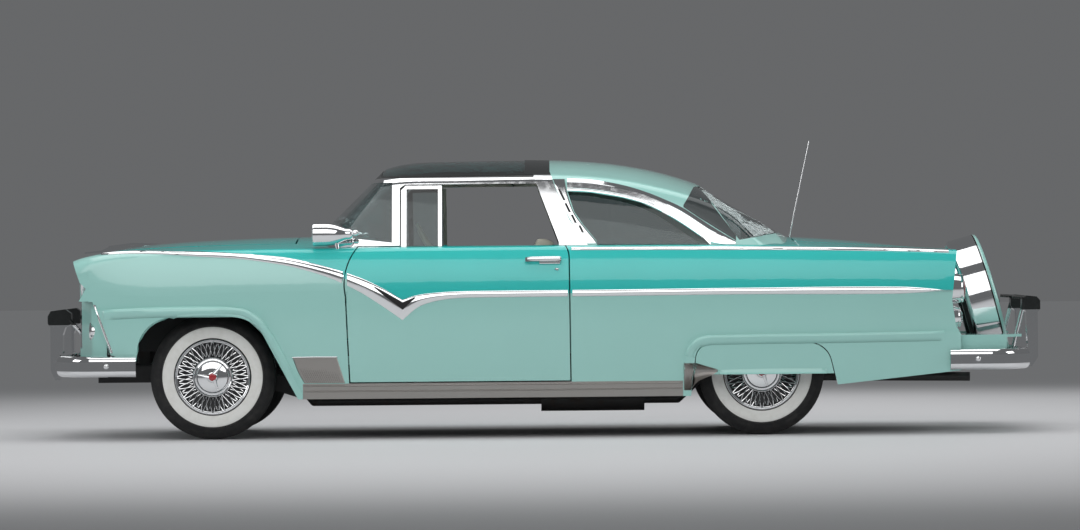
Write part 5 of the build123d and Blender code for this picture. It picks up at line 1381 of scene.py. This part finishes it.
@dataclass
class RearEnd:
    """Tail lamps, and the spare's face and trim."""

    spare: Row = (2.380, 0.0, 0.712)
    axis: Row = (0.9646, 0.0, 0.2639)
    face: Profile = (
        (0.318, 0.0842), (0.312, 0.0864), (0.300, 0.0870), (0.285, 0.0866), (0.272, 0.0863), (0.240, 0.0870),
        (0.190, 0.0935), (0.120, 0.0975), (0.0, 0.0990),
    )
    boss: Profile = ((0.075, 0.0960), (0.073, 0.1035), (0.060, 0.1110), (0.035, 0.1165), (0.0, 0.1180))
    rings: Rows = ((0.336, 0.0040, 0.0640), (0.322, 0.0035, 0.0828))

    def build(self) -> None:
        """Makes the pieces of both sides and those of the spare."""
        for side in Side:
            STOP_LAMP.build(side)
            REVERSE_LAMP.build(side)
        at, axis = Vector(self.spare), Vector(self.axis)
        piece(turned(self.face, at, axis, 96), "spare_face", "spare", SEAFOAM_PAINT)
        rings = [ring(*row, at, axis, 96) for row in self.rings]
        piece(joined(*rings, turned(self.boss, at, axis)), "spare_trim", "spare", CHROME)


@dataclass
class Spotlight:
    """A bullet-shaped lamp on its foot at the foot of the screen post."""

    side: Side
    place: Row = (-1.1145, 0.872, 1.092)
    shell: Profile = (
        (0.0500, -0.1080), (0.0535, -0.1125), (0.0600, -0.1130), (0.0628, -0.1050), (0.0618, -0.0950),
        (0.0618, -0.0400), (0.0600, -0.0180), (0.0540, 0.0080), (0.0440, 0.0340), (0.0340, 0.0560),
        (0.0290, 0.0680), (0.0300, 0.0740), (0.0290, 0.0840), (0.0240, 0.0950), (0.0140, 0.1020),
        (0.0, 0.1040),
    )
    knob: Profile = (
        (0.0, 0.018), (0.010, 0.0165), (0.016, 0.010), (0.018, 0.0), (0.013, -0.012), (0.0, -0.016),
    )
    glass: Profile = ((0.0505, -0.1085), (0.0480, -0.1130), (0.035, -0.1180), (0.0, -0.1205))
    # points of the stem and the knob, from the lamp's middle
    hip: Row = (0.012, 0.0, -0.052)
    knee: Row = (0.020, 0.0, -0.100)
    foot: Row = (0.030, 0.004, -0.140)
    knob_at: Row = (0.112, 0.0, 0.006)

    def build(self) -> None:
        """Makes the lamp, its glass and its foot, in place of the plain ones."""
        at = self.side.at(*self.place)
        points = (self.hip, self.knee, self.foot, self.knob_at)
        hip, knee, foot, knob_at = (at + self.side.at(*point) for point in points)
        stem = bmesh.new()
        rod(stem, hip, knee, 0.012, 0.009, 16)
        rod(stem, knee, foot, 0.010, 0.019, 16)
        knob = turned(self.knob, knob_at, BEHIND, 24)
        shell = joined(turned(self.shell, at, BEHIND, 64), stem, knob)
        lamp = piece(shell, f"spotlight_{self.side.word}", "body", CHROME)
        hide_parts("spotlights")
        glass = turned(self.glass, at, BEHIND)
        piece(glass, f"spotlight_glass_{self.side.word}", "body", LENS)


@dataclass
class Bench:
    """One bench seat: a long cushion and its back, padded and sewn in channels.

    The cushion and the back are each given by a lower middle point with its lean in degrees, and by their
    depth, thickness and rise of the crown.
    """

    name: str
    cushion: tuple[Row, Row]
    back: tuple[Row, Row]
    backs: int = 1
    channels: int = 16
    width: float = 1.34
    parting: float = 0.012
    stitch: float = 0.006
    # the share of the depth that is sewn, and shares by which the corners and the faces draw in
    sewn: float = 0.86
    corner_pull: float = 0.03
    face_pull: float = 0.008

    def build(self) -> None:
        """Makes the padded pieces in place of the plain solids."""
        self._pad(f"{self.name}_cushion", self.cushion, 0.0, self.width, self.channels)
        width = self.width / self.backs
        for number in range(self.backs):
            middle = width * (number + 0.5) - self.width / 2
            channels = self.channels // self.backs
            self._pad(f"{self.name}_back_{number}", self.back, middle, width - self.parting, channels)

    def _pad(self, name: str, place: tuple[Row, Row], middle: float, width: float, channels: int) -> None:
        """Makes one pad.

        Args:
            name: its name.
            place: the cushion's or the back's two rows.
            middle: its place across the car.
            width: its width.
            channels: how many sewn channels it has.
        """
        (x, z, lean), (depth, thick, crown) = place
        mesh = bmesh.new()
        bmesh.ops.create_cube(mesh, size=1.0)
        for axis, cuts in ((1, channels * 4 - 1), (0, 11), (2, 3)):
            edges = [edge for edge in mesh.edges
                     if abs(edge.verts[0].co[axis] - edge.verts[1].co[axis]) > 0.5]
            bmesh.ops.subdivide_edges(mesh, edges=edges, cuts=cuts, use_grid_fill=True)
        for vertex in mesh.verts:
            u, v, w = vertex.co.y * 2, vertex.co.x * 2, vertex.co.z * 2
            fall = (1 - abs(u) ** 6) * (1 - abs(v) ** 6)
            puff = abs(math.sin(math.pi * channels * (vertex.co.y + 0.5))) ** 0.5
            dip = (1 - puff) * self.stitch * (abs(v) < self.sewn)
            top = thick / 2 * w + (crown * fall - dip) * (w > 0.9)
            pull = 1 - self.corner_pull * (1 - fall) * abs(w)
            vertex.co = (v * depth / 2 * pull, u * width / 2 * (1 - self.face_pull * abs(w)), top)
        turn = Matrix.Rotation(math.radians(lean), 4, "Y")
        bmesh.ops.transform(mesh, matrix=Matrix.Translation((x, middle, z)) @ turn, verts=mesh.verts)
        pad = piece(mesh, name, "body", HIDE, PADDED)
        smooth = pad.modifiers.new("smooth", "SUBSURF")
        smooth.levels = smooth.render_levels = 1
        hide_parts(self.name)


@dataclass(frozen=True)
class Light:
    """One soft rectangular light."""

    name: str
    place: Row
    size: Point
    power: float
    target: Row
    in_reflections: bool = True

    def build(self) -> None:
        """Makes the light, turned to its target."""
        lamp = bpy.data.lights.new(self.name, "AREA")
        lamp.shape = "RECTANGLE"
        lamp.size, lamp.size_y = self.size
        lamp.energy = self.power
        holder = bpy.data.objects.new(self.name, lamp)
        holder.location = self.place
        holder.rotation_euler = (Vector(self.target) - Vector(self.place)).to_track_quat("-Z", "Y").to_euler()
        holder.visible_glossy = self.in_reflections
        bpy.context.scene.collection.objects.link(holder)


@dataclass
class Stage:
    """The floor, the soft lights and the camera."""

    floor_colour: Colour = (0.60, 0.60, 0.61)
    floor_half: float = 70.0
    fade: Point = (3.5, 13.0)
    backdrop: Colour = (0.135, 0.138, 0.142)
    fill: float = 2.4
    eye: Row = (-0.019, -29.4, 0.981)
    focal: float = 178.4
    pitch_down: float = 0.127
    roll: float = -0.52
    far: float = 200.0
    lights: tuple[Light, ...] = (
        Light("overhead", (0.0, -0.4, 5.0), (8.0, 3.4), 150.0, (0.0, 0.0, 0.6)),
        Light("near_side", (-1.0, -7.4, 4.9), (10.5, 5.6), 290.0, (0.0, 0.0, 0.7)),
        Light("far_side", (1.5, 8.0, 4.5), (8.0, 3.0), 230.0, (0.0, 0.0, 0.7), False),
        Light("front", (-8.5, -1.0, 3.2), (4.0, 3.0), 110.0, (0.0, 0.0, 0.7)),
        Light("rear", (8.5, -1.0, 3.2), (4.0, 3.0), 110.0, (0.0, 0.0, 0.7)),
    )

    def build(self) -> None:
        """Makes the floor, the world, the lights and the camera."""
        self._floor()
        self._world()
        for light in self.lights:
            light.build()
        self._camera()

    def _floor(self) -> None:
        """Makes a wide pale floor that fades into the backdrop."""
        mesh = bmesh.new()
        bmesh.ops.create_grid(mesh, x_segments=1, y_segments=1, size=self.floor_half)
        data = bpy.data.meshes.new("floor")
        mesh.to_mesh(data)
        mesh.free()
        floor = bpy.data.objects.new("floor", data)
        bpy.context.scene.collection.objects.link(floor)
        graph = Graph("floor_paint")
        along, across, _ = graph.axes()
        away = (along * along + across * across).root().rise(*self.fade)
        seen = [graph.add("ShaderNodeLightPath", output=f"Is {kind} Ray")
                for kind in ("Camera", "Glossy", "Transmission")]
        glow = away * seen[0].at_least(seen[1]).at_least(seen[2])
        black = (0.0, 0.0, 0.0)
        graph.set(
            Base_Color=graph.mix(away, self.floor_colour, black),
            Roughness=0.6,
            Specular_IOR_Level=0.15,
            Emission_Color=graph.mix(glow, black, self.backdrop),
            Emission_Strength=1.0,
        )
        data.materials.append(graph.material)

    def _world(self) -> None:
        """Makes the backdrop that is seen and reflected, with a stronger even fill on what it lights."""
        world = bpy.data.worlds.new("backdrop")
        world.use_nodes = True
        tree = world.node_tree
        shader = tree.nodes["Background"]
        shader.inputs["Color"].default_value = (*self.backdrop, 1.0)
        path = tree.nodes.new("ShaderNodeLightPath")
        share = tree.nodes.new("ShaderNodeMapRange")
        share.inputs["To Min"].default_value = 1.0
        share.inputs["To Max"].default_value = self.fill
        tree.links.new(path.outputs["Is Diffuse Ray"], share.inputs["Value"])
        tree.links.new(share.outputs[0], shader.inputs["Strength"])
        bpy.context.scene.world = world

    def _camera(self) -> None:
        """Sets the camera where the photographer stood."""
        lens = bpy.data.cameras.new("camera")
        lens.lens = self.focal
        lens.sensor_width = 36.0
        lens.clip_end = self.far
        holder = bpy.data.objects.new("camera", lens)
        tilt = Matrix.Rotation(math.radians(90 - self.pitch_down), 4, "X")
        roll = Matrix.Rotation(math.radians(self.roll), 4, "Z")
        holder.matrix_world = Matrix.Translation(self.eye) @ tilt @ roll
        bpy.context.scene.collection.objects.link(holder)
        bpy.context.scene.camera = holder
        bpy.context.scene.view_settings.view_transform = "Standard"


FRONT_SEAT = Bench(
    "front_seat",
    ((-0.390, 0.445, 5.0), (0.44, 0.16, 0.012)),
    ((-0.052, 0.785, -76.0), (0.56, 0.10, 0.010)),
    backs=2,
)
REAR_SEAT = Bench(
    "rear_seat",
    ((0.560, 0.430, 3.0), (0.36, 0.15, 0.012)),
    ((0.820, 0.745, -74.0), (0.47, 0.09, 0.010)),
)


def main(frame: dict) -> None:
    """Dresses the frame and sets the stage.
    """
    logging.basicConfig(level=logging.INFO, format="%(message)s")
    Panels().build(frame)
    for side in Side:
        SideTrim(side).build(frame)
        Roof(side).build(frame)
        Spotlight(side).build()
    for wheel in Wheel:
        WheelDress(wheel).build()
    FrontEnd().build()
    RearEnd().build()
    FRONT_SEAT.build()
    REAR_SEAT.build()
    Stage().build()


if __name__ == "__main__":
    the_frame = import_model()
    main(the_frame)
